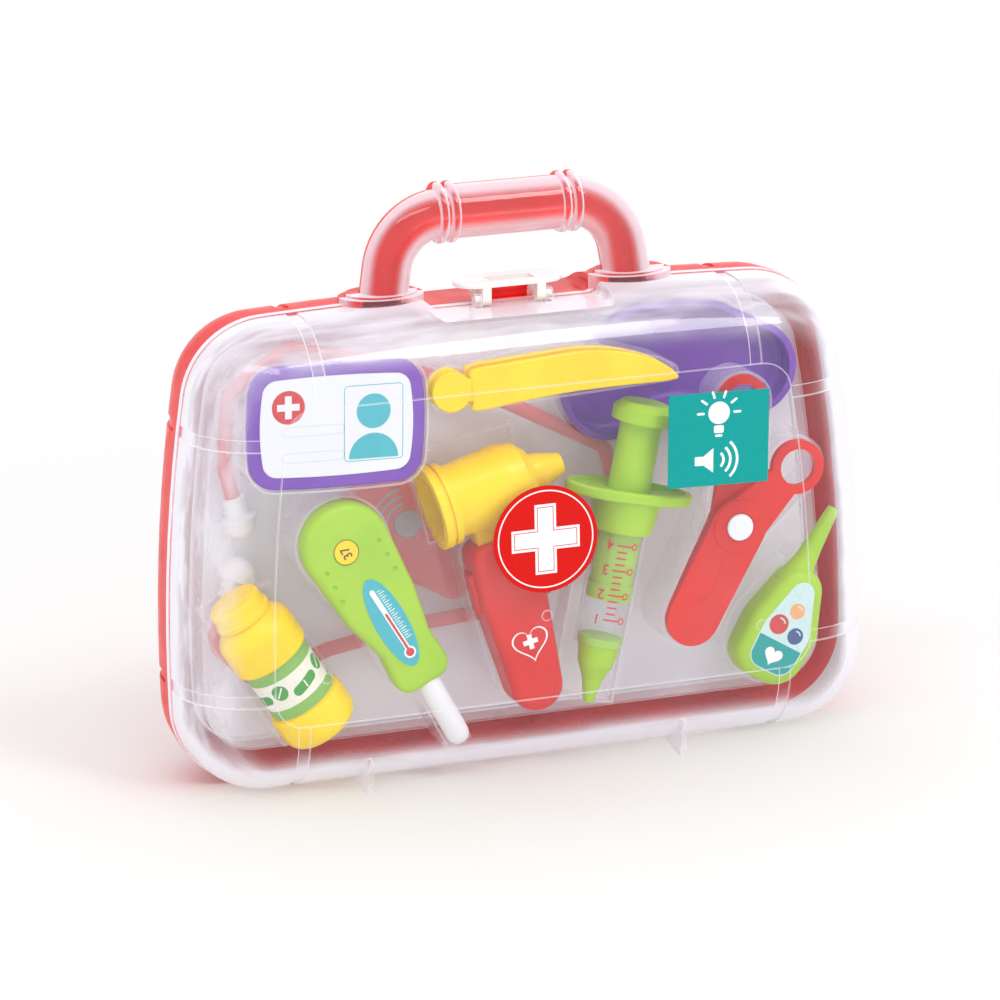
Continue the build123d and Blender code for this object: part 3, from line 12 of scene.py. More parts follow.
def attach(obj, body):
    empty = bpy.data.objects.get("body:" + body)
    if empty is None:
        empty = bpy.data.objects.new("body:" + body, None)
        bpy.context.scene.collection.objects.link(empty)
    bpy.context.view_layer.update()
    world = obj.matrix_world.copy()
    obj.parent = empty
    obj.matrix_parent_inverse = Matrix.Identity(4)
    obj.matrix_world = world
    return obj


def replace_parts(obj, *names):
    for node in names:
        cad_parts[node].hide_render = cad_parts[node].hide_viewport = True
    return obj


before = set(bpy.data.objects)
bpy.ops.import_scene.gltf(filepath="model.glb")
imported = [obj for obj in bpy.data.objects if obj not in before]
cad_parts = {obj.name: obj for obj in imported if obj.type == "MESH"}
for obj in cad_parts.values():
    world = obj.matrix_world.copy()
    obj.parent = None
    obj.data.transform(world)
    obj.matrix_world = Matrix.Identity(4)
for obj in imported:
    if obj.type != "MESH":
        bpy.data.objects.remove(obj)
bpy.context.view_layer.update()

MM = 0.001
UNDERSIDE = 2.15          # mm, underside of the case above the floor

# ------------------------------------------------------------------ camera
IMAGE_SIDE = 1000.0       # px
FOCAL_PX = 4895.76
SENSOR = 36.0             # mm
VIEW_YAW = math.radians(18.869)
VIEW_RISE = math.radians(15.197)
VIEW_ROLL = math.radians(-1.291)
VIEW_DISTANCE = 2.15036   # m
VIEW_TARGET = Vector((-0.004819, 0.0, 0.114928))
VIEW_NEAREST = 0.1        # m
VIEW_FARTHEST = 20.0      # m


def make_camera():
    """Camera to the left of the front and a little above, with a long lens."""
    back = Vector((-math.sin(VIEW_YAW) * math.cos(VIEW_RISE), -math.cos(VIEW_YAW) * math.cos(VIEW_RISE),
                   math.sin(VIEW_RISE)))
    level = (-back).cross(Vector((0, 0, 1))).normalized()
    over = level.cross(-back)
    right = math.cos(VIEW_ROLL) * level + math.sin(VIEW_ROLL) * over
    up = -math.sin(VIEW_ROLL) * level + math.cos(VIEW_ROLL) * over
    camera = bpy.data.objects.new("camera", bpy.data.cameras.new("camera"))
    bpy.context.collection.objects.link(camera)
    camera.matrix_world = Matrix.Translation(VIEW_TARGET + back * VIEW_DISTANCE) @ Matrix(
        (right, up, back)).transposed().to_4x4()
    camera.data.sensor_width = SENSOR
    camera.data.lens = FOCAL_PX / IMAGE_SIDE * SENSOR
    camera.data.clip_start = VIEW_NEAREST
    camera.data.clip_end = VIEW_FARTHEST
    bpy.context.scene.camera = camera


make_camera()


# ------------------------------------------------------------------ shader graphs
def colour(red, green, blue):
    """Linear colour from 0-255 display values."""
    def linear(value):
        share = value / 255
        return share / 12.92 if share <= 0.04045 else ((share + 0.055) / 1.055) ** 2.4
    return (linear(red), linear(green), linear(blue), 1.0)


class Value:
    """One output socket of a material, with arithmetic."""

    def __init__(self, graph, socket):
        self.graph = graph
        self.socket = socket

    def worked(self, operation, *values):
        """Math node with one operation."""
        return self.graph.node("ShaderNodeMath", *values, operation=operation)

    def __add__(self, other):
        return self.worked("ADD", self, other)

    __radd__ = __add__

    def __sub__(self, other):
        return self.worked("SUBTRACT", self, other)

    def __rsub__(self, other):
        return self.worked("SUBTRACT", other, self)

    def __mul__(self, other):
        return self.worked("MULTIPLY", self, other)

    __rmul__ = __mul__

    def __pow__(self, other):
        return self.worked("POWER", self, other)

    def __rpow__(self, other):
        return self.worked("POWER", other, self)

    def clamped(self):
        """Kept between 0 and 1."""
        return self.graph.node("ShaderNodeClamp", self)

    def ramp(self, low, high, start=0.0, end=1.0):
        """Smooth step from start to end as the value goes from low to high."""
        return self.graph.node("ShaderNodeMapRange", self, low, high, start, end,
                               interpolation_type="SMOOTHSTEP")


EDGE_SAMPLES = 4


class Graph:
    """Node tree of one material."""

    def __init__(self, name):
        self.material = bpy.data.materials.new(name)
        self.material.use_nodes = True
        self.tree = self.material.node_tree
        self.tree.nodes.clear()

    def node(self, kind, *values, output=0, inputs=None, **settings):
        """A node with its inputs in order, or by name or number, and its settings."""
        node = self.tree.nodes.new(kind)
        for key, value in settings.items():
            setattr(node, key, value)
        feeds = list(enumerate(values)) + list((inputs or {}).items())
        for key, value in feeds:
            if isinstance(value, Value):
                self.tree.links.new(value.socket, node.inputs[key])
            elif value is not None:
                node.inputs[key].default_value = value
        return Value(self, node.outputs[output])

    def place(self):
        """Object coordinates, in metres."""
        return self.node("ShaderNodeTexCoord", output="Object")

    def noise(self, size_mm, detail=3.0, roughness=0.5):
        """Noise from 0 to 1 with features of about that size."""
        return self.node("ShaderNodeTexNoise", output=0, inputs={
            "Vector": self.place(), "Scale": 1000.0 / size_mm, "Detail": detail, "Roughness": roughness})

    def mix(self, factor, first, second):
        """Colour between two colours."""
        sockets = {0: factor, 6: first, 7: second}
        return self.node("ShaderNodeMix", output=2, inputs=sockets, data_type="RGBA")

    def bump(self, height, depth_mm, strength):
        """Normal that follows a height from 0 to 1."""
        return self.node("ShaderNodeBump", output=0, inputs={
            "Strength": strength, "Distance": depth_mm * MM, "Height": height})

    def edge(self, radius_mm):
        """0 on flat faces, rising to 1 at edges within that radius."""
        rounded = self.node("ShaderNodeBevel", inputs={"Radius": radius_mm * MM}, samples=EDGE_SAMPLES)
        normal = self.node("ShaderNodeNewGeometry", output="Normal")
        along = self.node("ShaderNodeVectorMath", rounded, normal, operation="DOT_PRODUCT", output="Value")
        return (1.0 - along).ramp(0.01, 0.22)

    def surface(self, shader):
        """The material, with a shader as its surface."""
        output = self.tree.nodes.new("ShaderNodeOutputMaterial")
        self.tree.links.new(shader.socket, output.inputs["Surface"])
        return self.material

    def principled(self, **inputs):
        """Principled shader, with its sockets' names in small letters."""
        sockets = {}
        for key, value in inputs.items():
            sockets[key.replace("_", " ").title().replace("Ior", "IOR")] = value
        return self.node("ShaderNodeBsdfPrincipled", inputs=sockets)


# ------------------------------------------------------------------ materials
def moulded(name, base, shade, roughness):
    """Moulded toy plastic: faint flow marks in the colour, fine skin, worn and fresh patches of shine."""
    g = Graph(name)
    flow = g.noise(26.0, detail=2.0)
    tone = g.mix(flow.ramp(0.3, 0.75), base, shade)
    skin = g.noise(0.5, detail=2.0)
    wear = g.noise(9.0, detail=4.0)
    shine = wear.ramp(0.2, 0.8, roughness - 0.05, roughness + 0.07)
    shader = g.principled(base_color=tone, roughness=shine, specular_ior_level=0.3,
                          normal=g.bump(skin, 0.01, 0.5), coat_weight=0.04, coat_roughness=0.12)
    return g.surface(shader)


def clear_shell(name, tint, milk_colour, haze, rim, edge_mm=0.0, painted_edge_highlight=0.0, ripple=0.02, zones=None):
    """Clear plastic: lets light through, milky where thick or seen edge-on, with a painted highlight of white
    along its edges.
    """
    g = Graph(name)
    shadow = g.node("ShaderNodeLightPath", output="Is Shadow Ray")
    bounce = g.node("ShaderNodeLightPath", output="Is Diffuse Ray")
    inside = g.node("ShaderNodeNewGeometry", output="Backfacing")
    seen = (1.0 - shadow) * (1.0 - bounce) * (1.0 - inside)
    facing = g.node("ShaderNodeLayerWeight", 0.5, output="Facing")
    ripples = g.bump(g.noise(34.0, detail=1.0), ripple * 10, 0.35)
    smoke = g.noise(45.0, detail=3.0).ramp(0.35, 0.8)
    milk = haze + haze * 0.8 * smoke + rim * facing ** 2.5
    if zones:
        milk = milk + zones(g, facing)
    # painted highlight: white milk laid along the edges, where they would catch the light
    if painted_edge_highlight:
        milk = milk + painted_edge_highlight * g.edge(edge_mm)
    through = g.node("ShaderNodeBsdfTransparent", tint)
    body = g.principled(base_color=milk_colour, roughness=0.4)
    skin = {"Color": (1, 1, 1, 1), "Roughness": 0.05, "Normal": ripples}
    gloss = g.node("ShaderNodeBsdfGlossy", inputs=skin)
    clear = g.node("ShaderNodeMixShader", milk.clamped() * seen, through, body)
    mirror = (0.04 + 0.7 * facing ** 5.0) * seen
    return g.surface(g.node("ShaderNodeMixShader", mirror, clear, gloss))


# stretches of the lid, in metres, over which its milk comes in
FLANK_FRONT = (-0.0445, -0.038)   # y, just behind the front panel
FAR_FLANK = (0.125, 0.145)        # x
LOW_FLANK = (0.015, 0.035)        # z
HANDLE_FOOT = (0.203, 0.212)      # z


def lid_zones(g, facing):
    """Extra milk of the lid: in its thick flank, in soft streaks, and at the sides of its handle."""
    x, y, z = (g.node("ShaderNodeSeparateXYZ", g.place(), output=n) for n in range(3))
    flank = y.ramp(*FLANK_FRONT) * (1.0 - z.ramp(*HANDLE_FOOT))
    stretched = g.node("ShaderNodeMapping", inputs={"Vector": g.place(), "Scale": (1.0, 6.0, 2.2)})
    drawn = {"Vector": stretched, "Scale": 22.0, "Detail": 2.0}
    streaks = g.node("ShaderNodeTexNoise", output=0, inputs=drawn)
    handle = z.ramp(*HANDLE_FOOT) * facing.ramp(0.08, 0.34)
    far_wall = 0.5 * x.ramp(*FAR_FLANK) + 0.3 * (1.0 - z.ramp(*LOW_FLANK))
    thick = 0.2 + 0.3 * streaks.ramp(0.38, 0.66) + 0.5 * facing.ramp(0.25, 0.75) + far_wall
    return flank * thick + handle * 0.55


def printed(name, base, roughness=0.35):
    """Ink or coloured film: even colour with a trace of mottle under a smooth skin."""
    g = Graph(name)
    grain = g.noise(1.2, detail=4.0)
    dark = tuple(c * 0.91 for c in base[:3]) + (1.0,)
    shader = g.principled(base_color=g.mix(grain.ramp(0.3, 0.7), dark, base), roughness=roughness,
                          specular_ior_level=0.2, normal=g.bump(grain, 0.004, 0.3))
    return g.surface(shader)


def card_stock(name, base, shade):
    """Printed card with soft clouds of colour and a paper tooth."""
    g = Graph(name)
    clouds = g.noise(60.0, detail=2.0).ramp(0.3, 0.7)
    tooth = g.noise(0.35, detail=5.0)
    shader = g.principled(base_color=g.mix(clouds, base, shade), roughness=0.55,
                          normal=g.bump(tooth, 0.02, 0.4))
    return g.surface(shader)


def metal(name, base, roughness):
    """Drawn metal with fine scratches."""
    g = Graph(name)
    scratches = g.noise(0.6, detail=6.0, roughness=0.7)
    shader = g.principled(base_color=base, metallic=1.0,
                          roughness=scratches.ramp(0.3, 0.7, roughness - 0.08, roughness + 0.1))
    return g.surface(shader)


RED_SHELL = moulded("red_shell", colour(236, 14, 4), colour(222, 8, 2), roughness=0.3)
RED_TOY = moulded("red_toy", colour(226, 30, 12), colour(214, 20, 8), roughness=0.32)
GREEN_TOY = moulded("green_toy", colour(172, 214, 56), colour(158, 206, 44), roughness=0.32)
YELLOW_TOY = moulded("yellow_toy", colour(255, 222, 20), colour(252, 210, 10), roughness=0.28)
PURPLE_TOY = moulded("purple_toy", colour(124, 74, 182), colour(112, 62, 172), roughness=0.3)
WHITE_TOY = moulded("white_toy", colour(244, 245, 248), colour(236, 237, 242), roughness=0.32)
WHITE_LATCH = moulded("white_latch", colour(252, 248, 249), colour(244, 238, 240), roughness=0.25)
GREY_KNOB = moulded("grey_knob", colour(158, 152, 160), colour(146, 140, 148), roughness=0.5)
LID_MILK = colour(240, 236, 247)
CLEAR_LID = clear_shell("clear_lid", (0.996, 0.994, 0.998, 1), LID_MILK, haze=0.03, rim=0.6, edge_mm=0.7,
                        painted_edge_highlight=0.85, zones=lid_zones)
CLEAR_TRAY = clear_shell("clear_tray", (0.998, 0.998, 0.999, 1), LID_MILK, haze=0.17, rim=0.3, edge_mm=0.5,
                         painted_edge_highlight=0.6, ripple=0.05)
CLEAR_BARREL = clear_shell("clear_barrel", (0.97, 0.98, 0.985, 1), colour(236, 240, 244), haze=0.05, rim=0.4)
CARD = card_stock("card", colour(236, 238, 246), colour(222, 222, 235))
BADGE_CARD = card_stock("badge_paper", colour(240, 242, 244), colour(232, 235, 239))
TEAL_FILM = printed("teal_film", colour(10, 162, 158), roughness=0.5)
TEAL_INK = printed("teal_ink", colour(72, 186, 200))
RED_FILM = printed("red_film", colour(222, 12, 4), roughness=0.5)
RED_INK = printed("red_ink", colour(214, 72, 72))
WHITE_INK = printed("white_ink", colour(252, 252, 252))
CREAM_FILM = printed("cream_film", colour(246, 243, 228))
GREEN_INK = printed("green_ink", colour(140, 192, 98))
GREEN_INK_DEEP = printed("green_ink_deep", colour(74, 164, 74))
PALE_FILM = printed("pale_film", colour(206, 234, 232))
NAVY_INK = printed("navy_ink", colour(70, 92, 150))
PEACH_INK = printed("peach_ink", colour(244, 178, 120))
DARK_INK = printed("dark_ink", colour(70, 66, 60))
GREY_INK = printed("grey_ink", colour(222, 226, 230))
STEEL = metal("steel", (0.6, 0.6, 0.62, 1), roughness=0.3)
BLACK_PART = moulded("black_part", colour(30, 30, 32), colour(24, 24, 26), roughness=0.5)

NODE_LOOKS = {
    "back_shell": RED_SHELL, "front_shell": CLEAR_LID, "hinge_pins": STEEL, "latch": WHITE_LATCH,
    "backing_card": CARD, "toy_tray": CLEAR_TRAY, "cross_sticker": RED_FILM, "corner_sticker": TEAL_FILM,
    "badge_frame": PURPLE_TOY, "badge_card": BADGE_CARD, "tweezers_back_arm": YELLOW_TOY,
    "tweezers_front_arm": YELLOW_TOY, "kidney_dish": PURPLE_TOY, "stethoscope_headset": RED_TOY,
    "stethoscope_eartips": WHITE_TOY, "stethoscope_chest_piece": RED_TOY,
    "stethoscope_chest_cover": RED_TOY, "stethoscope_button": GREY_KNOB,
    "stethoscope_speaker": BLACK_PART, "stethoscope_cells": STEEL,
    "otoscope_head": YELLOW_TOY, "otoscope_lens": CLEAR_BARREL, "otoscope_cone": YELLOW_TOY,
    "otoscope_lamp": WHITE_TOY, "otoscope_handle": RED_TOY, "otoscope_button": RED_TOY,
    "otoscope_cells": STEEL, "syringe_barrel": CLEAR_BARREL, "syringe_flange": GREEN_TOY,
    "syringe_nozzle": GREEN_TOY, "syringe_plunger": GREEN_TOY, "scissors_front_half": RED_TOY,
    "scissors_back_half": RED_TOY, "scissors_pivot": WHITE_TOY, "squeeze_bulb": GREEN_TOY,
    "bulb_label": PALE_FILM, "thermometer_body": GREEN_TOY, "thermometer_dial": YELLOW_TOY,
    "thermometer_probe": WHITE_TOY, "thermometer_label": TEAL_INK, "bottle_body": YELLOW_TOY,
    "bottle_cap": YELLOW_TOY, "bottle_label": CREAM_FILM,
}


def dress_nodes():
    """Give every construction node its own look."""
    for node, look in NODE_LOOKS.items():
        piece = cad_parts[node]
        if not piece.material_slots:
            piece.data.materials.append(look)
        for slot in piece.material_slots:
            slot.material = look


dress_nodes()


# ------------------------------------------------------------------ where the toys lie
def seat(x, up, y, lean=0.0):
    """Matrix from a toy's own millimetres to the frame: its middle's place and its lean."""
    move = Matrix.Translation(Vector((x, y, UNDERSIDE + up)) * MM)
    return move @ Matrix.Rotation(math.radians(lean), 4, "Y") @ Matrix.Scale(MM, 4)


PANEL_Y = -45.4
BADGE = seat(-88.9, 163.4, -32.0, 1.8)
OTOSCOPE = seat(-44.4, 119.0, -23.5, -13.4)
SYRINGE = seat(25.4, 23.5, -25.0, 12.4)
BULB = seat(112.9, 43.2, -20.0, 31.8)
THERMOMETER = seat(-65.8, 71.9, -30.0, -27.3)
BOTTLE = seat(-114.6, 56.8, -21.0, -32.5)
CHEST = seat(-57.0, 109.0, 4.0)
TWEEZERS = seat(-36.2, 172.4, -30.2)
SCISSORS = seat(94.9, 97.9, -30.0)
CROSS_STICKER = seat(0.0, 106.2, PANEL_Y)
CORNER_STICKER = seat(80.6, 142.4, PANEL_Y, 1.6)

# y of each printed face in its toy's own millimetres
STICKER_FACE = -0.3
BADGE_FACE = -2.05
OTO_HANDLE_FACE = -11.0
SCISSORS_FACE = -3.525
DIAL_FACE = -7.2
CHEST_FACE = -6.6
INK = 0.05                # mm that a print stands proud


# ------------------------------------------------------------------ flat print shapes
def ellipse(x, z, half_width, half_height, steps=72):
    """Oval about a point."""
    return [(x + half_width * math.cos(a), z + half_height * math.sin(a))
            for a in (2 * math.pi * n / steps for n in range(steps))]


def disc(x, z, radius, steps=48):
    """Circle about a point."""
    return ellipse(x, z, radius, radius, steps)


def arc_points(x, z, radius, start, end, steps=12):
    """Arc from start to end, in degrees."""
    return [(x + radius * math.cos(math.radians(a)), z + radius * math.sin(math.radians(a)))
            for a in (start + (end - start) * n / steps for n in range(steps + 1))]


def rounded(x, z, width, height, radius):
    """Rectangle with round corners, about its middle."""
    points = []
    for corner_x, corner_z, start in ((1, 1, 0), (-1, 1, 90), (-1, -1, 180), (1, -1, 270)):
        cx = x + corner_x * (width / 2 - radius)
        cz = z + corner_z * (height / 2 - radius)
        points += arc_points(cx, cz, radius, start, start + 90, 8)
    return points


def framed(x, z, width, height, radius, line):
    """Outer and inner outline of a thin frame with round corners."""
    return [rounded(x, z, width, height, radius),
            rounded(x, z, width - 2 * line, height - 2 * line, radius - line)]


def plus(x, z, reach, half):
    """Cross with equal arms."""
    corners = [(half, reach), (half, half), (reach, half), (reach, -half), (half, -half), (half, -reach)]
    corners += [(-a, -b) for a, b in corners]
    return [(x + a, z + b) for a, b in corners]


def stroke(x0, z0, x1, z1, width):
    """Line with round ends."""
    angle = math.degrees(math.atan2(z1 - z0, x1 - x0))
    return (arc_points(x0, z0, width / 2, angle + 90, angle + 270, 8)
            + arc_points(x1, z1, width / 2, angle - 90, angle + 90, 8))


def sector(x, z, radius, width, start, end):
    """Piece of a ring."""
    return (arc_points(x, z, radius + width / 2, start, end, 20)
            + arc_points(x, z, radius - width / 2, end, start, 20))


def heart(x, z, size):
    """Heart outline, size wide."""
    points = []
    for n in range(48):
        a = 2 * math.pi * n / 48
        across = 16 * math.sin(a) ** 3
        along = 13 * math.cos(a) - 5 * math.cos(2 * a) - 2 * math.cos(3 * a) - math.cos(4 * a)
        points.append((x + across * size / 32, z + along * size / 32))
    return points


def curve_mesh(name, curve):
    """Plain mesh from a curve or text, which is then thrown away."""
    holder = bpy.data.objects.new(name, curve)
    bpy.context.collection.objects.link(holder)
    bpy.context.view_layer.update()
    graph = bpy.context.evaluated_depsgraph_get()
    mesh = bpy.data.meshes.new_from_object(holder.evaluated_get(graph))
    bpy.data.objects.remove(holder)
    mesh.name = name
    return mesh


def add_piece(name, mesh, look, body="case_back"):
    """Link a finished mesh as a piece of the object."""
    mesh.materials.clear()
    mesh.materials.append(look)
    piece = bpy.data.objects.new(name, mesh)
    bpy.context.collection.objects.link(piece)
    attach(piece, body)
    return piece


def stand_in(name, mesh, look, node, body="case_back"):
    """A piece that is seen instead of a construction node."""
    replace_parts(add_piece(name, mesh, look, body), node)


def lay_flat(mesh, place, face):
    """Stand a drawing made in x and y upright, at the depth of a face, and put it in place."""
    for vertex in mesh.vertices:
        x, z, lift = vertex.co
        vertex.co = place @ Vector((x, face - INK / 2 - lift, z))


def wrap_round(mesh, place, radius):
    """Cut a drawing made in x and y into 1 mm strips, bend it round a toy's own Z axis and place it."""
    bm = bmesh.new()
    bm.from_mesh(mesh)
    start = math.floor(min(vertex.co.x for vertex in bm.verts)) + 1
    end = math.ceil(max(vertex.co.x for vertex in bm.verts))
    for x in range(start, end):
        bmesh.ops.bisect_plane(bm, geom=bm.verts[:] + bm.edges[:] + bm.faces[:], dist=1e-5,
                               plane_co=(x, 0, 0), plane_no=(1, 0, 0))
    bm.to_mesh(mesh)
    bm.free()
    for vertex in mesh.vertices:
        x, z, lift = vertex.co
        out = radius + INK / 2 + lift
        vertex.co = place @ Vector((out * math.sin(x / radius), -out * math.cos(x / radius), z))


def drawing(name, outlines, extrude=INK / 2, bevel=0.0):
    """Filled flat shape from closed outlines; an outline inside another is a hole."""
    curve = bpy.data.curves.new(name, "CURVE")
    curve.dimensions = "2D"
    curve.fill_mode = "BOTH"
    curve.extrude = extrude
    curve.bevel_depth = bevel
    curve.bevel_resolution = 3
    curve.offset = -bevel
    for points in outlines:
        spline = curve.splines.new("POLY")
        spline.points.add(len(points) - 1)
        for point, (x, z) in zip(spline.points, points):
            point.co = (x, z, 0, 1)
        spline.use_cyclic_u = True
    return curve_mesh(name, curve)


def figure(name, text, size, x, z, angle=0.0):
    """Numerals centred on a point."""
    font = bpy.data.curves.new(name, "FONT")
    font.body = text
    font.size = size
    font.align_x = "CENTER"
    font.align_y = "CENTER"
    font.extrude = INK / 2
    font.offset = size * 0.012
    mesh = curve_mesh(name, font)
    mesh.transform(Matrix.Translation((x, z, 0)) @ Matrix.Rotation(math.radians(angle), 4, "Z"))
    return mesh


def print_flat(name, outlines, place, face, look, body="case_back"):
    """Print of closed outlines on a flat face."""
    mesh = drawing(name, outlines)
    lay_flat(mesh, place, face)
    add_piece(name, mesh, look, body)


def print_round(name, mesh, place, radius, look):
    """Print on a round surface."""
    wrap_round(mesh, place, radius)
    add_piece(name, mesh, look)


# ------------------------------------------------------------------ moulded shapes
SMOOTH_ANGLE = math.radians(35)
TURN_STEPS = 72           # of a turned shape
CURVE_STEPS = 10          # between two points of a smooth line
RAY_STEPS = 180           # of an outline that is looked for all round


def hull_outline(*discs):
    """Tight outline round discs given as (x, z, radius)."""
    points = sorted({point for x, z, radius in discs for point in disc(x, z, radius, 72)})

    def chain(ordered):
        line = []
        for x, z in ordered:
            while len(line) > 1 and ((line[-1][0] - line[-2][0]) * (z - line[-2][1])
                                     <= (line[-1][1] - line[-2][1]) * (x - line[-2][0])):
                line.pop()
            line.append((x, z))
        return line[:-1]

    return chain(points) + chain(points[::-1])


def joined_outline(x, z, outlines):
    """Outer line of overlapping outlines that all hold the point (x, z)."""
    points = []
    for n in range(RAY_STEPS):
        dx, dz = math.cos(2 * math.pi * n / RAY_STEPS), math.sin(2 * math.pi * n / RAY_STEPS)
        reach = 0.0
        for outline in outlines:
            for (ax, az), (bx, bz) in zip(outline, outline[1:] + outline[:1]):
                cross = dx * (bz - az) - dz * (bx - ax)
                if abs(cross) < 1e-9:
                    continue
                share = ((ax - x) * dz - (az - z) * dx) / cross
                if 0 <= share <= 1:
                    reach = max(reach, ((ax - x) * (bz - az) - (az - z) * (bx - ax)) / cross)
        points.append((x + reach * dx, z + reach * dz))
    return points


def below(outline, cut):
    """The part of a convex outline under a level."""
    kept = []
    for (ax, az), (bx, bz) in zip(outline, outline[1:] + outline[:1]):
        if az <= cut:
            kept.append((ax, az))
        if (az - cut) * (bz - cut) < 0:
            kept.append((ax + (bx - ax) * (cut - az) / (bz - az), cut))
    return kept


def smooth_line(points):
    """Closed smooth line through points."""
    line = []
    count = len(points)
    for n in range(count):
        a, b, c, d = (Vector(points[(n + k) % count]) for k in (-1, 0, 1, 2))
        for m in range(CURVE_STEPS):
            t = m / CURVE_STEPS
            spot = 0.5 * (2 * b + (c - a) * t + (2 * a - 5 * b + 4 * c - d) * t * t
                          + (3 * b - a - 3 * c + d) * t ** 3)
            line.append(tuple(spot))
    return line


def softened(points, radii):
    """Open line with round corners, one radius for each inner corner."""
    line = [points[0]]
    for before, corner, after, radius in zip(points, points[1:], points[2:], radii):
        middle = Vector(corner)
        to_start = (Vector(before) - middle).normalized()
        to_end = (Vector(after) - middle).normalized()
        cut = radius / math.tan(to_start.angle(to_end) / 2)
        start, end = middle + to_start * cut, middle + to_end * cut
        for n in range(9):
            t = n / 8
            line.append(tuple(start * (1 - t) ** 2 + middle * 2 * t * (1 - t) + end * t * t))
    return line + [points[-1]]


def smoothed(mesh):
    """Smooth shading with sharp edges kept."""
    mesh.shade_smooth()
    mesh.set_sharp_from_angle(angle=SMOOTH_ANGLE)
    return mesh


def merged(name, *meshes):
    """Several meshes as one."""
    bm = bmesh.new()
    for mesh in meshes:
        bm.from_mesh(mesh)
    whole = bpy.data.meshes.new(name)
    bm.to_mesh(whole)
    bm.free()
    return smoothed(whole)


def row_tree():
    """Geometry Nodes tree that repeats the mesh it is given in an even row."""
    tree = bpy.data.node_groups.new("even_row", "GeometryNodeTree")
    tree.interface.new_socket("Geometry", in_out="INPUT", socket_type="NodeSocketGeometry")
    tree.interface.new_socket("Count", in_out="INPUT", socket_type="NodeSocketInt")
    tree.interface.new_socket("Step", in_out="INPUT", socket_type="NodeSocketVector")
    tree.interface.new_socket("Material", in_out="INPUT", socket_type="NodeSocketMaterial")
    tree.interface.new_socket("Geometry", in_out="OUTPUT", socket_type="NodeSocketGeometry")
    given = tree.nodes.new("NodeGroupInput")
    line = tree.nodes.new("GeometryNodeMeshLine")
    copies = tree.nodes.new("GeometryNodeInstanceOnPoints")
    real = tree.nodes.new("GeometryNodeRealizeInstances")
    dressed = tree.nodes.new("GeometryNodeSetMaterial")
    result = tree.nodes.new("NodeGroupOutput")
    for start, end in ((given.outputs["Count"], line.inputs["Count"]),
                       (given.outputs["Step"], line.inputs["Offset"]),
                       (line.outputs["Mesh"], copies.inputs["Points"]),
                       (given.outputs["Geometry"], copies.inputs["Instance"]),
                       (copies.outputs["Instances"], real.inputs["Geometry"]),
                       (real.outputs["Geometry"], dressed.inputs["Geometry"]),
                       (given.outputs["Material"], dressed.inputs["Material"]),
                       (dressed.outputs["Geometry"], result.inputs["Geometry"])):
        tree.links.new(start, end)
    return tree


EVEN_ROW = row_tree()


def in_a_row(name, outlines, count, step, look):
    """Flat shapes repeated count times, each copy a step (x, z) from the last."""
    holder = bpy.data.objects.new(name, drawing(name, outlines))
    bpy.context.collection.objects.link(holder)
    modifier = holder.modifiers.new("even_row", "NODES")
    modifier.node_group = EVEN_ROW
    items = [item for item in EVEN_ROW.interface.items_tree if item.in_out == "INPUT"]
    sockets = {item.name: item.identifier for item in items}
    modifier[sockets["Count"]] = count
    modifier[sockets["Step"]] = (*step, 0.0)
    modifier[sockets["Material"]] = look
    depsgraph = bpy.context.evaluated_depsgraph_get()
    mesh = bpy.data.meshes.new_from_object(holder.evaluated_get(depsgraph))
    mesh.name = name
    holder.modifiers.remove(modifier)
    bpy.data.objects.remove(holder)
    return mesh


def moulding(name, outlines, place, front, back, round_edge):
    """Flat toy body with round rims; front and back are depths along the toy's own y."""
    mesh = drawing(name, outlines, (back - front) / 2 - round_edge, round_edge)
    for vertex in mesh.vertices:
        x, z, lift = vertex.co
        vertex.co = place @ Vector((x, (front + back) / 2 - lift, z))
    return smoothed(mesh)


def lathe(name, profile, place, x=0.0):
    """Turned shape about an upright axis at x from (radius, z) points."""
    mesh = bpy.data.meshes.new(name)
    bm = bmesh.new()
    line = [bm.verts.new((radius, 0, z)) for radius, z in profile]
    edges = [bm.edges.new(pair) for pair in zip(line, line[1:])]
    bmesh.ops.spin(bm, geom=line + edges, cent=(0, 0, 0), axis=(0, 0, 1), angle=2 * math.pi,
                   steps=TURN_STEPS)
    bmesh.ops.remove_doubles(bm, verts=bm.verts, dist=1e-4)
    bmesh.ops.recalc_face_normals(bm, faces=bm.faces)
    bm.to_mesh(mesh)
    bm.free()
    mesh.transform(place @ Matrix.Translation((x, 0, 0)))
    return smoothed(mesh)


def balls(name, spots, place):
    """Small balls given as (x, y, z, radius), as one mesh."""
    bm = bmesh.new()
    for x, y, z, radius in spots:
        bmesh.ops.create_icosphere(bm, subdivisions=3, radius=radius, matrix=Matrix.Translation((x, y, z)))
    mesh = bpy.data.meshes.new(name)
    bm.to_mesh(mesh)
    bm.free()
    mesh.transform(place)
    return mesh


def carved(mesh, cutters):
    """The mesh with each cutter taken away."""
    holder = bpy.data.objects.new(mesh.name, mesh)
    bpy.context.collection.objects.link(holder)
    tools = []
    for cutter in cutters:
        tool = bpy.data.objects.new(cutter.name, cutter)
        bpy.context.collection.objects.link(tool)
        cut = holder.modifiers.new(cutter.name, "BOOLEAN")
        cut.operation = "DIFFERENCE"
        cut.solver = "EXACT"
        cut.object = tool
        tools.append(tool)
    bpy.context.view_layer.update()
    result = bpy.data.meshes.new_from_object(holder.evaluated_get(bpy.context.evaluated_depsgraph_get()))
    for item in [holder] + tools:
        bpy.data.objects.remove(item)
    return smoothed(result)


# ------------------------------------------------------------------ toys with fuller forms than their solids
LABEL_PROUD = 0.3         # mm that a thick label stands above its face
LABEL_SUNK = 0.1
LABEL_EDGE = 0.1          # radius of its edge


def thick_label(name, outline, place, face):
    """Label with soft edges that is let into a flat face."""
    return moulding(name, [outline], place, face - LABEL_PROUD, face + LABEL_SUNK, LABEL_EDGE)


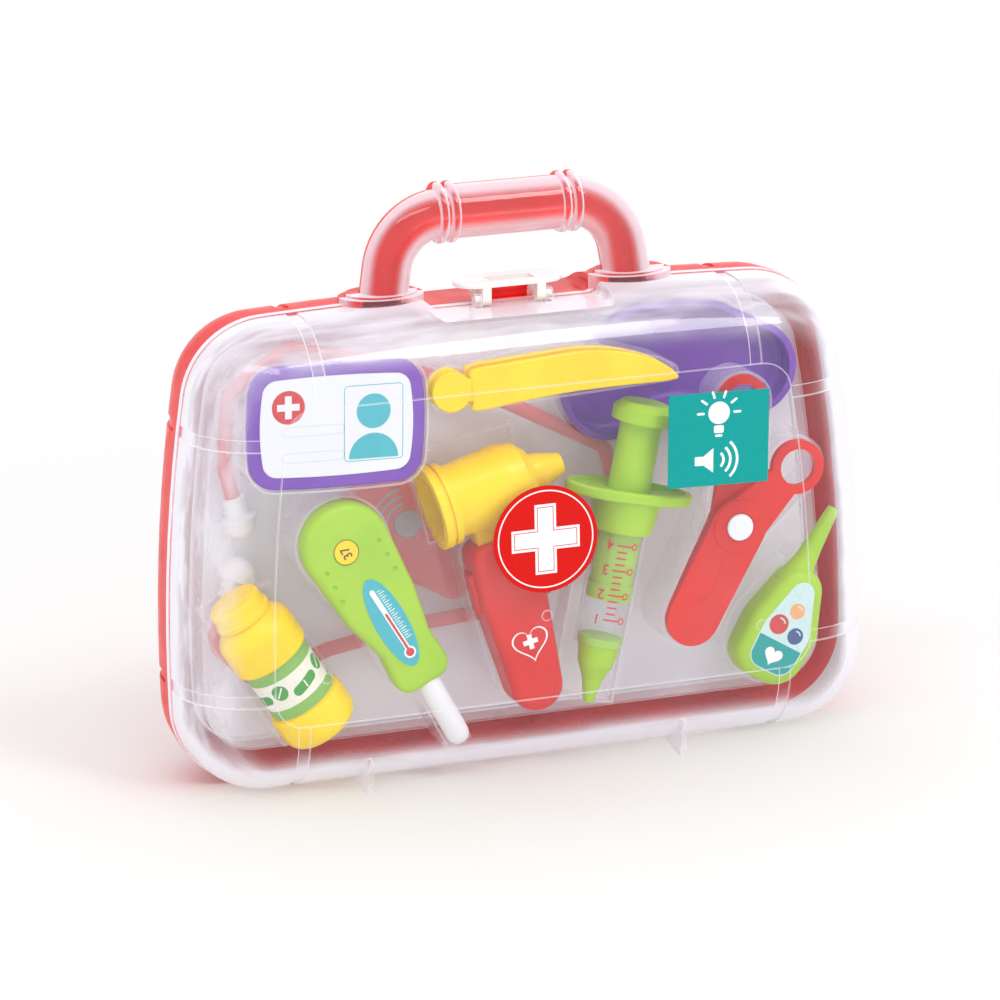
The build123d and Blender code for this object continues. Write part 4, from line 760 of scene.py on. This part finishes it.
def dome(radius, base, steps, way=1):
    """(radius, z) points of a round end from its rim to its pole, upwards or downwards."""
    return [(radius * math.cos(a), base + way * radius * math.sin(a))
            for a in (math.pi / 2 * n / steps for n in range(steps + 1))]


THERMO_HEAD = ((-1.0, 42.5, 19.5), (-0.6, 14.0, 17.2), (0.4, -8.0, 12.3))
THERMO_FOOT = ((0.4, -8.0, 12.0), (-5.4, -24.2, 7.4), (6.0, -24.2, 7.4))
THERMO_JOIN = (0.4, -8.0)         # a point inside both
THERMO_HALF = 6.5
THERMO_ROUND = 3.2
DIAL = (-2.7, 41.6)
DIAL_WELL_RADIUS = 5.8
DIAL_WELL_DEPTH = 1.2
DIMPLE_MIDDLE = -1.2
DIMPLE_OUT = 13.4
DIMPLE_TOP = 38.0
DIMPLE_STEP = 7.4
DIMPLE_RADIUS = 1.2
PROBE_X = 1.0
PROBE_RADIUS = 5.6
PROBE_TIP_RADIUS = 5.2
PROBE_TIP_Z = -60.2
THERMO_LABEL = (-1.0, 3.0, 7.3, 22.8)


def make_thermometer():
    """Full body with a shallow dial well and grip dimples, a thick round probe and its oval label."""
    face = -THERMO_HALF
    outline = joined_outline(*THERMO_JOIN, [hull_outline(*THERMO_HEAD), hull_outline(*THERMO_FOOT)])
    body = moulding("thermometer_case", [outline], THERMOMETER, face, THERMO_HALF, THERMO_ROUND)
    spots = [(DIMPLE_MIDDLE + side * DIMPLE_OUT, face - 0.3, DIMPLE_TOP - DIMPLE_STEP * n, DIMPLE_RADIUS)
             for side in (-1, 1) for n in range(3)]
    dimples = balls("dimples", spots, THERMOMETER)
    well = moulding("well", [disc(*DIAL, DIAL_WELL_RADIUS)], THERMOMETER,
                    face - 1, face + DIAL_WELL_DEPTH, 0.01)
    body = carved(body, [dimples, well])
    stand_in("thermometer_case", body, GREEN_TOY, "thermometer_body")
    profile = [(0, -25), (PROBE_RADIUS, -25), (5.5, -33)] + dome(PROBE_TIP_RADIUS, PROBE_TIP_Z, 10, way=-1)
    probe = lathe("thermometer_stem", profile, THERMOMETER, PROBE_X)
    stand_in("thermometer_stem", probe, WHITE_TOY, "thermometer_probe")
    label = thick_label("thermometer_oval", ellipse(*THERMO_LABEL), THERMOMETER, face)
    stand_in("thermometer_oval", label, TEAL_INK, "thermometer_label")


BULB_BODY = ((-1.0, -8.0, 12.0), (7.5, -7.0, 13.0), (3.6, 4.0, 17.2), (1.8, 23.0, 11.0))
BULB_HALF = 9.0
BULB_ROUND = 5.0
BULB_SPOUT_X = -1.0


def bulb_inset(margin):
    """Outline of the bulb's flat face, less a margin."""
    return hull_outline(*[(x, z, radius - BULB_ROUND - margin) for x, z, radius in BULB_BODY])


def make_bulb():
    """Soft bulb with a leaning spout, and a label that follows its outline."""
    body = moulding("bulb_body", [hull_outline(*BULB_BODY)], BULB, -BULB_HALF, BULB_HALF, BULB_ROUND)
    profile = softened([(0, 24), (8.6, 24), (5.2, 37), (4.2, 45), (2.7, 63.5), (1.5, 63.5), (1.5, 52),
                        (0, 52)],
                       [0.5, 6.0, 4.0, 0.5, 0.4, 0.5])
    form = merged("bulb_form", body, lathe("bulb_spout", profile, BULB, BULB_SPOUT_X))
    stand_in("bulb_form", form, GREEN_TOY, "squeeze_bulb")
    label = thick_label("bulb_field", bulb_inset(0.3), BULB, -BULB_HALF)
    stand_in("bulb_field", label, PALE_FILM, "bulb_label")


BOTTLE_BULGE = 17.4
BOTTLE_WAIST = 15.0


def make_bottle():
    """Bottle with round ends and a straight waist, and a smooth cap with a ring at its foot."""
    bulge, waist = BOTTLE_BULGE, BOTTLE_WAIST
    outside = softened([(0, -37.8), (bulge, -37.8), (bulge, -20.0), (waist, -20.0), (waist, 5.0),
                        (bulge, 5.0), (bulge, 20.5), (11.6, 27.0), (9.0, 27.2), (9.0, 34.0), (0, 34.0)],
                       [8.0, 2.2, 0.4, 0.4, 2.2, 7.0, 0.3, 0.2, 0.5])
    body = lathe("bottle_form", outside, BOTTLE)
    stand_in("bottle_form", body, YELLOW_TOY, "bottle_body")
    cap = softened([(0, 36.5), (12.0, 36.5), (12.0, 30.0), (12.9, 29.4), (12.9, 27.2), (9.3, 27.2),
                    (9.3, 35.0), (0, 35.0)],
                   [2.0, 0.3, 0.3, 0.5, 0.3, 0.5])
    top = lathe("bottle_top", cap, BOTTLE)
    stand_in("bottle_top", top, YELLOW_TOY, "bottle_cap", body="bottle_cap")


TWEEZER_BLADE = ((9.6, -8.8), (30.0, -6.8), (52.0, -4.9), (76.0, -4.4), (97.0, -4.4), (102.4, -2.8),
                 (96.0, 3.2), (85.0, 8.4), (72.0, 11.6), (58.0, 12.8), (42.0, 12.0), (24.0, 10.8),
                 (8.6, 9.4), (7.4, 4.0), (8.2, -4.0))
TWEEZER_ROOT = (-1.2, 0.5, 8.9)
TWEEZER_NECK = (6.5, 0.6, 9.0, 10.0, 1.0)
TWEEZER_EDGE = 0.9
TWEEZER_ARMS = (("front", "tweezers_front", -6.1, -2.7), ("back", "case_back", 2.7, 6.1))


def make_tweezers():
    """Two arms, each a broad arched blade, a neck and a round root; the back one has the pivot's boss."""
    x, z, radius = TWEEZER_ROOT
    boss = moulding("tweezers_boss", [disc(x, z, radius - 1.2, 72)], TWEEZERS, -2.2, 3.0, 0.2)
    for side, body, front, back in TWEEZER_ARMS:
        blade = moulding("tweezers_blade", [smooth_line(TWEEZER_BLADE)], TWEEZERS, front, back, TWEEZER_EDGE)
        root = moulding("tweezers_root", [disc(x, z, radius, 72)], TWEEZERS,
                        front - 0.02, back - 0.02, TWEEZER_EDGE)
        neck = moulding("tweezers_neck", [rounded(*TWEEZER_NECK)], TWEEZERS, front + 0.5, back, 0.5)
        parts = [blade, root, neck] + ([boss] if side == "back" else [])
        form = merged(f"tweezers_{side}_form", *parts)
        stand_in(f"tweezers_{side}_form", form, YELLOW_TOY, f"tweezers_{side}_arm", body)


SCISSORS_BOSS_RADIUS = 12.2
SCISSORS_RIVET_RADIUS = 6.5
CREASE = ((-7.2, -13.6), (-12.4, -27.0), (-18.6, -33.0))
CREASE_WIDTH = 0.9


def make_scissors_relief():
    """Round boss about the rivet and the crease down the front blade."""
    face = SCISSORS_FACE
    ring = [disc(0, 0, SCISSORS_BOSS_RADIUS, 96), disc(0, 0, SCISSORS_RIVET_RADIUS, 72)]
    boss = moulding("scissors_boss", ring, SCISSORS, face - 0.5, face + 0.3, 0.2)
    creases = [moulding("scissors_crease", [stroke(*start, *end, CREASE_WIDTH)], SCISSORS,
                        face - 0.25, face + 0.3, 0.1)
               for start, end in zip(CREASE, CREASE[1:])]
    relief = merged("scissors_relief", boss, *creases)
    add_piece("scissors_relief", relief, RED_TOY, "scissors_front")


def make_syringe_tip():
    """Long nozzle that widens in two cones."""
    profile = softened([(0, 0), (2.3, 0), (4.8, 11.0), (8.0, 18.0), (9.3, 26.5), (9.8, 27.0), (9.8, 30.4),
                        (0, 30.4)],
                       [0.5, 2.0, 3.0, 0.4, 0.4, 0.4])
    tip = lathe("syringe_tip", profile, SYRINGE)
    stand_in("syringe_tip", tip, GREEN_TOY, "syringe_nozzle")


def make_otoscope_line():
    """Raised line round the foot of the grip."""
    line = [sector(24.0, -91.0, 7.2, 0.8, 185, 355)]
    mesh = moulding("otoscope_line", line, OTOSCOPE, OTO_HANDLE_FACE - 0.4, OTO_HANDLE_FACE + 0.3, 0.2)
    add_piece("otoscope_line", mesh, RED_TOY)


# last run of each ear tube, as (x, up) of its start and end
EAR_ENDS = (((-128.5, 140.0), (-123.5, 117.7)), ((-137.0, 62.0), (-125.4, 89.0)))
EAR_Y = 4.0
EAR_DOME_RADIUS = 7.3
EAR_DOME_BASE = 3.2


def make_ear_tips():
    """Full soft tips over the ends of the ear tubes."""
    sleeve = [(0, -9), (4.6, -9), (5.2, -8.4), (5.6, -1.0), (8.2, 0.6), (8.2, 1.4)]
    profile = sleeve + dome(EAR_DOME_RADIUS, EAR_DOME_BASE, 12)
    for n, ((x0, up0), (x1, up1)) in enumerate(EAR_ENDS):
        name = f"ear_tip_{n + 1}"
        place = seat(x1, up1, EAR_Y, math.degrees(math.atan2(x1 - x0, up1 - up0)))
        tip = lathe(name, profile, place)
        if n == 0:
            stand_in(name, tip, WHITE_TOY, "stethoscope_eartips")
        else:
            add_piece(name, tip, WHITE_TOY)


# ------------------------------------------------------------------ stickers on the lid
def cross_sticker_print():
    """White cross in a thin ring, with a red line inside the cross."""
    ring = [disc(0, 0, 21.9, 96), disc(0, 0, 21.3, 96)]
    cross = [plus(0, 0, 15.6, 4.9)]
    line = [plus(0, 0, 14.4, 3.75), plus(0, 0, 14.1, 3.45)]
    for name, outlines, lift, look in (("ring", ring, 0, WHITE_INK), ("cross", cross, 0, WHITE_INK),
                                       ("line", line, INK, RED_FILM)):
        print_flat(f"cross_sticker_{name}", outlines, CROSS_STICKER, STICKER_FACE - lift, look,
                   "lid")


LAMP = (0, 11.6)
SPEAKER = [(-11.0, -7.5), (-7.0, -7.5), (-2.4, -4.0), (-2.4, -15.0), (-7.0, -11.5), (-11.0, -11.5)]


def corner_sticker_print():
    """Plain pictograms: a lamp with rays, and sound waves beside a small speaker."""
    x, z = LAMP
    lamp = [disc(x, z, 5.0), rounded(x, 4.3, 4.6, 3.4, 0.8), rounded(x, 1.4, 3.4, 1.1, 0.5)]
    for angle in range(0, 181, 36):
        out, up = math.cos(math.radians(angle)), math.sin(math.radians(angle))
        lamp.append(stroke(x + 7.2 * out, z + 7.2 * up, x + 9.8 * out, z + 9.8 * up, 1.1))
    waves = [SPEAKER] + [sector(-1.6, -9.5, 4.0 + 3.2 * n, 1.2, -48, 48) for n in range(3)]
    for name, outlines in (("lamp", lamp), ("waves", waves)):
        print_flat(f"corner_sticker_{name}", outlines, CORNER_STICKER, STICKER_FACE, WHITE_INK,
                   "lid")


# ------------------------------------------------------------------ prints on the toys
BADGE_DOT = (-21.5, 9.2)
BADGE_FIELDS = ((-10.5, -1.6), (-10.5, -13.0))
BADGE_PICTURE = (16.4, 0.2)


def badge_print():
    """Cross in a dot, two empty fields and a plain bust in a frame."""
    dot = [disc(*BADGE_DOT, 7.3), plus(*BADGE_DOT, 5.0, 1.5)]
    fields = [outline for spot in BADGE_FIELDS for outline in framed(*spot, 28.0, 4.6, 2.3, 0.4)]
    picture = framed(*BADGE_PICTURE, 26.4, 33.2, 2.0, 0.3)
    bust = [disc(16.4, 5.2, 7.6), arc_points(16.4, -15.4, 11.0, 0, 180, 32)]
    for name, outlines, look in (("dot", dot, RED_INK), ("fields", fields, GREY_INK),
                                 ("picture_frame", picture, TEAL_INK), ("figure", bust, TEAL_INK)):
        print_flat(f"badge_{name}", outlines, BADGE, BADGE_FACE, look)


TUBE_TOP = (-1.8, 19.6)
TUBE_FOOT = (-0.2, -12.0)
TUBE_BULB = (-0.2, -13.2)
TICK_PAIRS = 11
TICK_STEP = (0.12, -2.4)


def thermometer_print():
    """White tube with a red column and ticks on the label, and a number on the dial."""
    face = -THERMO_HALF - LABEL_PROUD
    tube = [stroke(*TUBE_TOP, *TUBE_FOOT, 2.3)]
    column = [stroke(-1.2, 7.4, -0.2, -12.4, 1.1)]
    for name, outlines, lift, look in (("tube", tube, 0, WHITE_INK),
                                       ("bulb_ring", [disc(*TUBE_BULB, 2.7)], 0.01, WHITE_INK),
                                       ("liquid", column, INK, RED_INK),
                                       ("liquid_bulb", [disc(*TUBE_BULB, 1.9)], INK + 0.01, RED_INK)):
        print_flat(f"thermometer_{name}", outlines, THERMOMETER, face - lift, look)
    pair = [stroke(0.2, 18.6, 1.8, 18.6, 0.35), stroke(0.26, 17.4, 2.86, 17.4, 0.35)]
    ticks = in_a_row("thermometer_ticks", pair, TICK_PAIRS, TICK_STEP, WHITE_INK)
    lay_flat(ticks, THERMOMETER, face)
    add_piece("thermometer_ticks", ticks, WHITE_INK)
    number = figure("thermometer_number", "37", 5.6, *DIAL, 90)
    lay_flat(number, THERMOMETER, DIAL_FACE)
    add_piece("thermometer_number", number, DARK_INK, "thermometer_dial")


SYRINGE_RADIUS = 11.6
SCALE_LOW = 40.1          # height of the mark 1 on the syringe's axis
SCALE_STEP = 11.2
SCALE_X = -4.6            # left ends of the marks, measured round the barrel
SCALE_MARKS = 4
SCALE_LINE = 0.75


def syringe_print():
    """Scale of four numbered marks, each with a small ring, and finer marks between."""
    left, low, step = SCALE_X, SCALE_LOW, SCALE_STEP
    mark = [stroke(left, low, left + 6.4, low, SCALE_LINE)]
    ring = [disc(left + 8.0, low, 1.6), disc(left + 8.0, low, 0.95)]
    fine = [stroke(left + 0.6, low + step * k / 4, left + 4.4, low + step * k / 4, SCALE_LINE)
            for k in (1, 2, 3)]
    for name, outlines, count in (("syringe_marks", mark, SCALE_MARKS),
                                  ("syringe_mark_rings", ring, SCALE_MARKS),
                                  ("syringe_fine_marks", fine, SCALE_MARKS - 1)):
        row = in_a_row(name, outlines, count, (0.0, step), RED_INK)
        print_round(name, row, SYRINGE, SYRINGE_RADIUS, RED_INK)
    for n in range(SCALE_MARKS):
        name = f"syringe_number_{n + 1}"
        number = figure(name, str(n + 1), 6.4, left - 3.4, low + n * step, 180)
        print_round(name, number, SYRINGE, SYRINGE_RADIUS, RED_INK)


OTO_HEART = (25.0, -70.0)


def otoscope_print():
    """White line drawing on the grip: a heart with a small cross."""
    x, z = OTO_HEART
    outline = [heart(x, z, 17.0), heart(x, z + 0.05, 15.4)]
    for name, outlines in (("heart", outline), ("cross", [plus(x, z + 0.6, 3.4, 1.1)])):
        print_flat(f"otoscope_{name}", outlines, OTOSCOPE, OTO_HANDLE_FACE, WHITE_INK)


BALLS = (("red", -1.6, 6.6, 4.6, RED_INK), ("blue", 8.4, 5.0, 3.8, NAVY_INK),
         ("peach", 3.4, 15.4, 3.6, PEACH_INK))
BULB_FOOT_TOP = -0.5


def bulb_print():
    """Teal foot with a heart, and plain balls on the pale field."""
    face = -BULB_HALF - LABEL_PROUD
    print_flat("bulb_foot_field", [below(bulb_inset(0.8), BULB_FOOT_TOP)], BULB, face, TEAL_FILM)
    print_flat("bulb_foot_heart", [heart(3.2, -7.2, 9.0)], BULB, face - INK, WHITE_INK)
    for name, x, z, radius, look in BALLS:
        ball = [disc(x, z, radius), sector(x, z, radius * 0.62, 0.7, 30, 110)]
        print_flat(f"bulb_ball_{name}", ball, BULB, face, look)


BOTTLE_LABEL_RADIUS = 15.3
BOTTLE_LABEL_LOW = -19.3
BOTTLE_LABEL_TOP = 4.8
BOTTLE_BAND = 5.2
BOTTLE_TABLETS = 8
BAND_STEPS = 96


def bottle_band(name, low, high):
    """Thin green band round the label."""
    radius = BOTTLE_LABEL_RADIUS + INK
    bm = bmesh.new()
    rows = []
    for z in (low, high):
        rows.append([bm.verts.new(BOTTLE @ Vector((radius * math.sin(a), -radius * math.cos(a), z)))
                     for a in (2 * math.pi * n / BAND_STEPS for n in range(BAND_STEPS))])
    for n in range(BAND_STEPS):
        m = (n + 1) % BAND_STEPS
        bm.faces.new((rows[0][n], rows[0][m], rows[1][m], rows[1][n]))
    bmesh.ops.recalc_face_normals(bm, faces=bm.faces)
    mesh = bpy.data.meshes.new(name)
    bm.to_mesh(mesh)
    bm.free()
    for polygon in mesh.polygons:
        polygon.use_smooth = True
    add_piece(name, mesh, GREEN_INK)


def bottle_print():
    """Green bands at the label's edges, with round and long tablets in turn between them."""
    bottle_band("bottle_band_low", BOTTLE_LABEL_LOW, BOTTLE_LABEL_LOW + BOTTLE_BAND)
    bottle_band("bottle_band_high", BOTTLE_LABEL_TOP - BOTTLE_BAND, BOTTLE_LABEL_TOP)
    middle = (BOTTLE_LABEL_LOW + BOTTLE_LABEL_TOP) / 2
    tablets, scores = [], []
    for n in range(BOTTLE_TABLETS):
        x = (n - 3.7) * 2 * math.pi * BOTTLE_LABEL_RADIUS / BOTTLE_TABLETS
        if n % 2:
            z = middle + 1.4
            tablets.append(disc(x, z, 3.7))
            scores.append(stroke(x - 1.9, z - 1.9, x + 1.9, z + 1.9, 0.7))
        else:
            z = middle - 1.2
            tablets.append(stroke(x - 4.4, z - 0.8, x + 4.4, z + 0.8, 4.6))
            scores.append(stroke(x, z - 1.5, x, z + 1.5, 0.7))
    for name, outlines, look, lift in (("bottle_tablets", tablets, GREEN_INK_DEEP, 0.0),
                                       ("bottle_scores", scores, CREAM_FILM, INK)):
        print_round(name, drawing(name, outlines), BOTTLE, BOTTLE_LABEL_RADIUS + lift, look)


def chest_print():
    """Three sound arcs beside the button."""
    arcs = [sector(8.5, -1.5, 9.5 + 3.4 * n, 1.3, 100, 190) for n in range(3)]
    print_flat("stethoscope_sound_arcs", arcs, CHEST, CHEST_FACE, GREY_KNOB)


make_thermometer()
make_bulb()
make_bottle()
make_tweezers()
make_scissors_relief()
make_syringe_tip()
make_otoscope_line()
make_ear_tips()
cross_sticker_print()
corner_sticker_print()
badge_print()
thermometer_print()
syringe_print()
otoscope_print()
bulb_print()
bottle_print()
chest_print()


# ------------------------------------------------------------------ floor and light
FLOOR_REACH = 6.0         # m
FLOOR_FADE = (0.3, 0.75)  # m from the middle over which the floor turns plain white


def make_floor():
    """Pale floor that keeps the shadow and turns plain white further out."""
    reach = FLOOR_REACH
    corners = [(-reach, -reach, 0), (reach, -reach, 0), (reach, reach, 0), (-reach, reach, 0)]
    mesh = bpy.data.meshes.new("floor")
    mesh.from_pydata(corners, [], [(0, 1, 2, 3)])
    floor = bpy.data.objects.new("floor", mesh)
    bpy.context.collection.objects.link(floor)
    g = Graph("floor")
    matt = g.principled(base_color=(0.84, 0.84, 0.84, 1), roughness=0.9)
    white = g.node("ShaderNodeEmission", (1, 1, 1, 1), 1.0)
    distance = g.node("ShaderNodeVectorMath", g.place(), operation="LENGTH", output="Value")
    mesh.materials.append(g.surface(g.node("ShaderNodeMixShader", distance.ramp(*FLOOR_FADE), matt, white)))


def make_surroundings():
    """Even white light from all sides."""
    world = bpy.data.worlds.new("white_room")
    bpy.context.scene.world = world
    world.use_nodes = True
    backdrop = world.node_tree.nodes["Background"]
    backdrop.inputs["Color"].default_value = (1, 1, 1, 1)
    backdrop.inputs["Strength"].default_value = 1.0


def soft_light(name, place, aim, size, power):
    """Large soft lamp that looks at a point."""
    lamp = bpy.data.lights.new(name, "AREA")
    lamp.shape = "RECTANGLE"
    lamp.size, lamp.size_y = size
    lamp.energy = power
    holder = bpy.data.objects.new(name, lamp)
    bpy.context.collection.objects.link(holder)
    holder.location = place
    holder.rotation_euler = (Vector(aim) - Vector(place)).to_track_quat("-Z", "Y").to_euler()


make_floor()
make_surroundings()
soft_light("key_light", (0.7, -1.1, 1.8), (0, 0, 0.1), (0.6, 0.6), 9.0)
soft_light("strip_light", (-0.5, -0.7, 1.5), (0, 0, 0.15), (1.2, 0.25), 4.0)

# many bounces, so that rays get through the lid, the tray and the barrel
scene = bpy.context.scene
scene.view_settings.view_transform = "Standard"
scene.cycles.transparent_max_bounces = 48
scene.cycles.max_bounces = 10
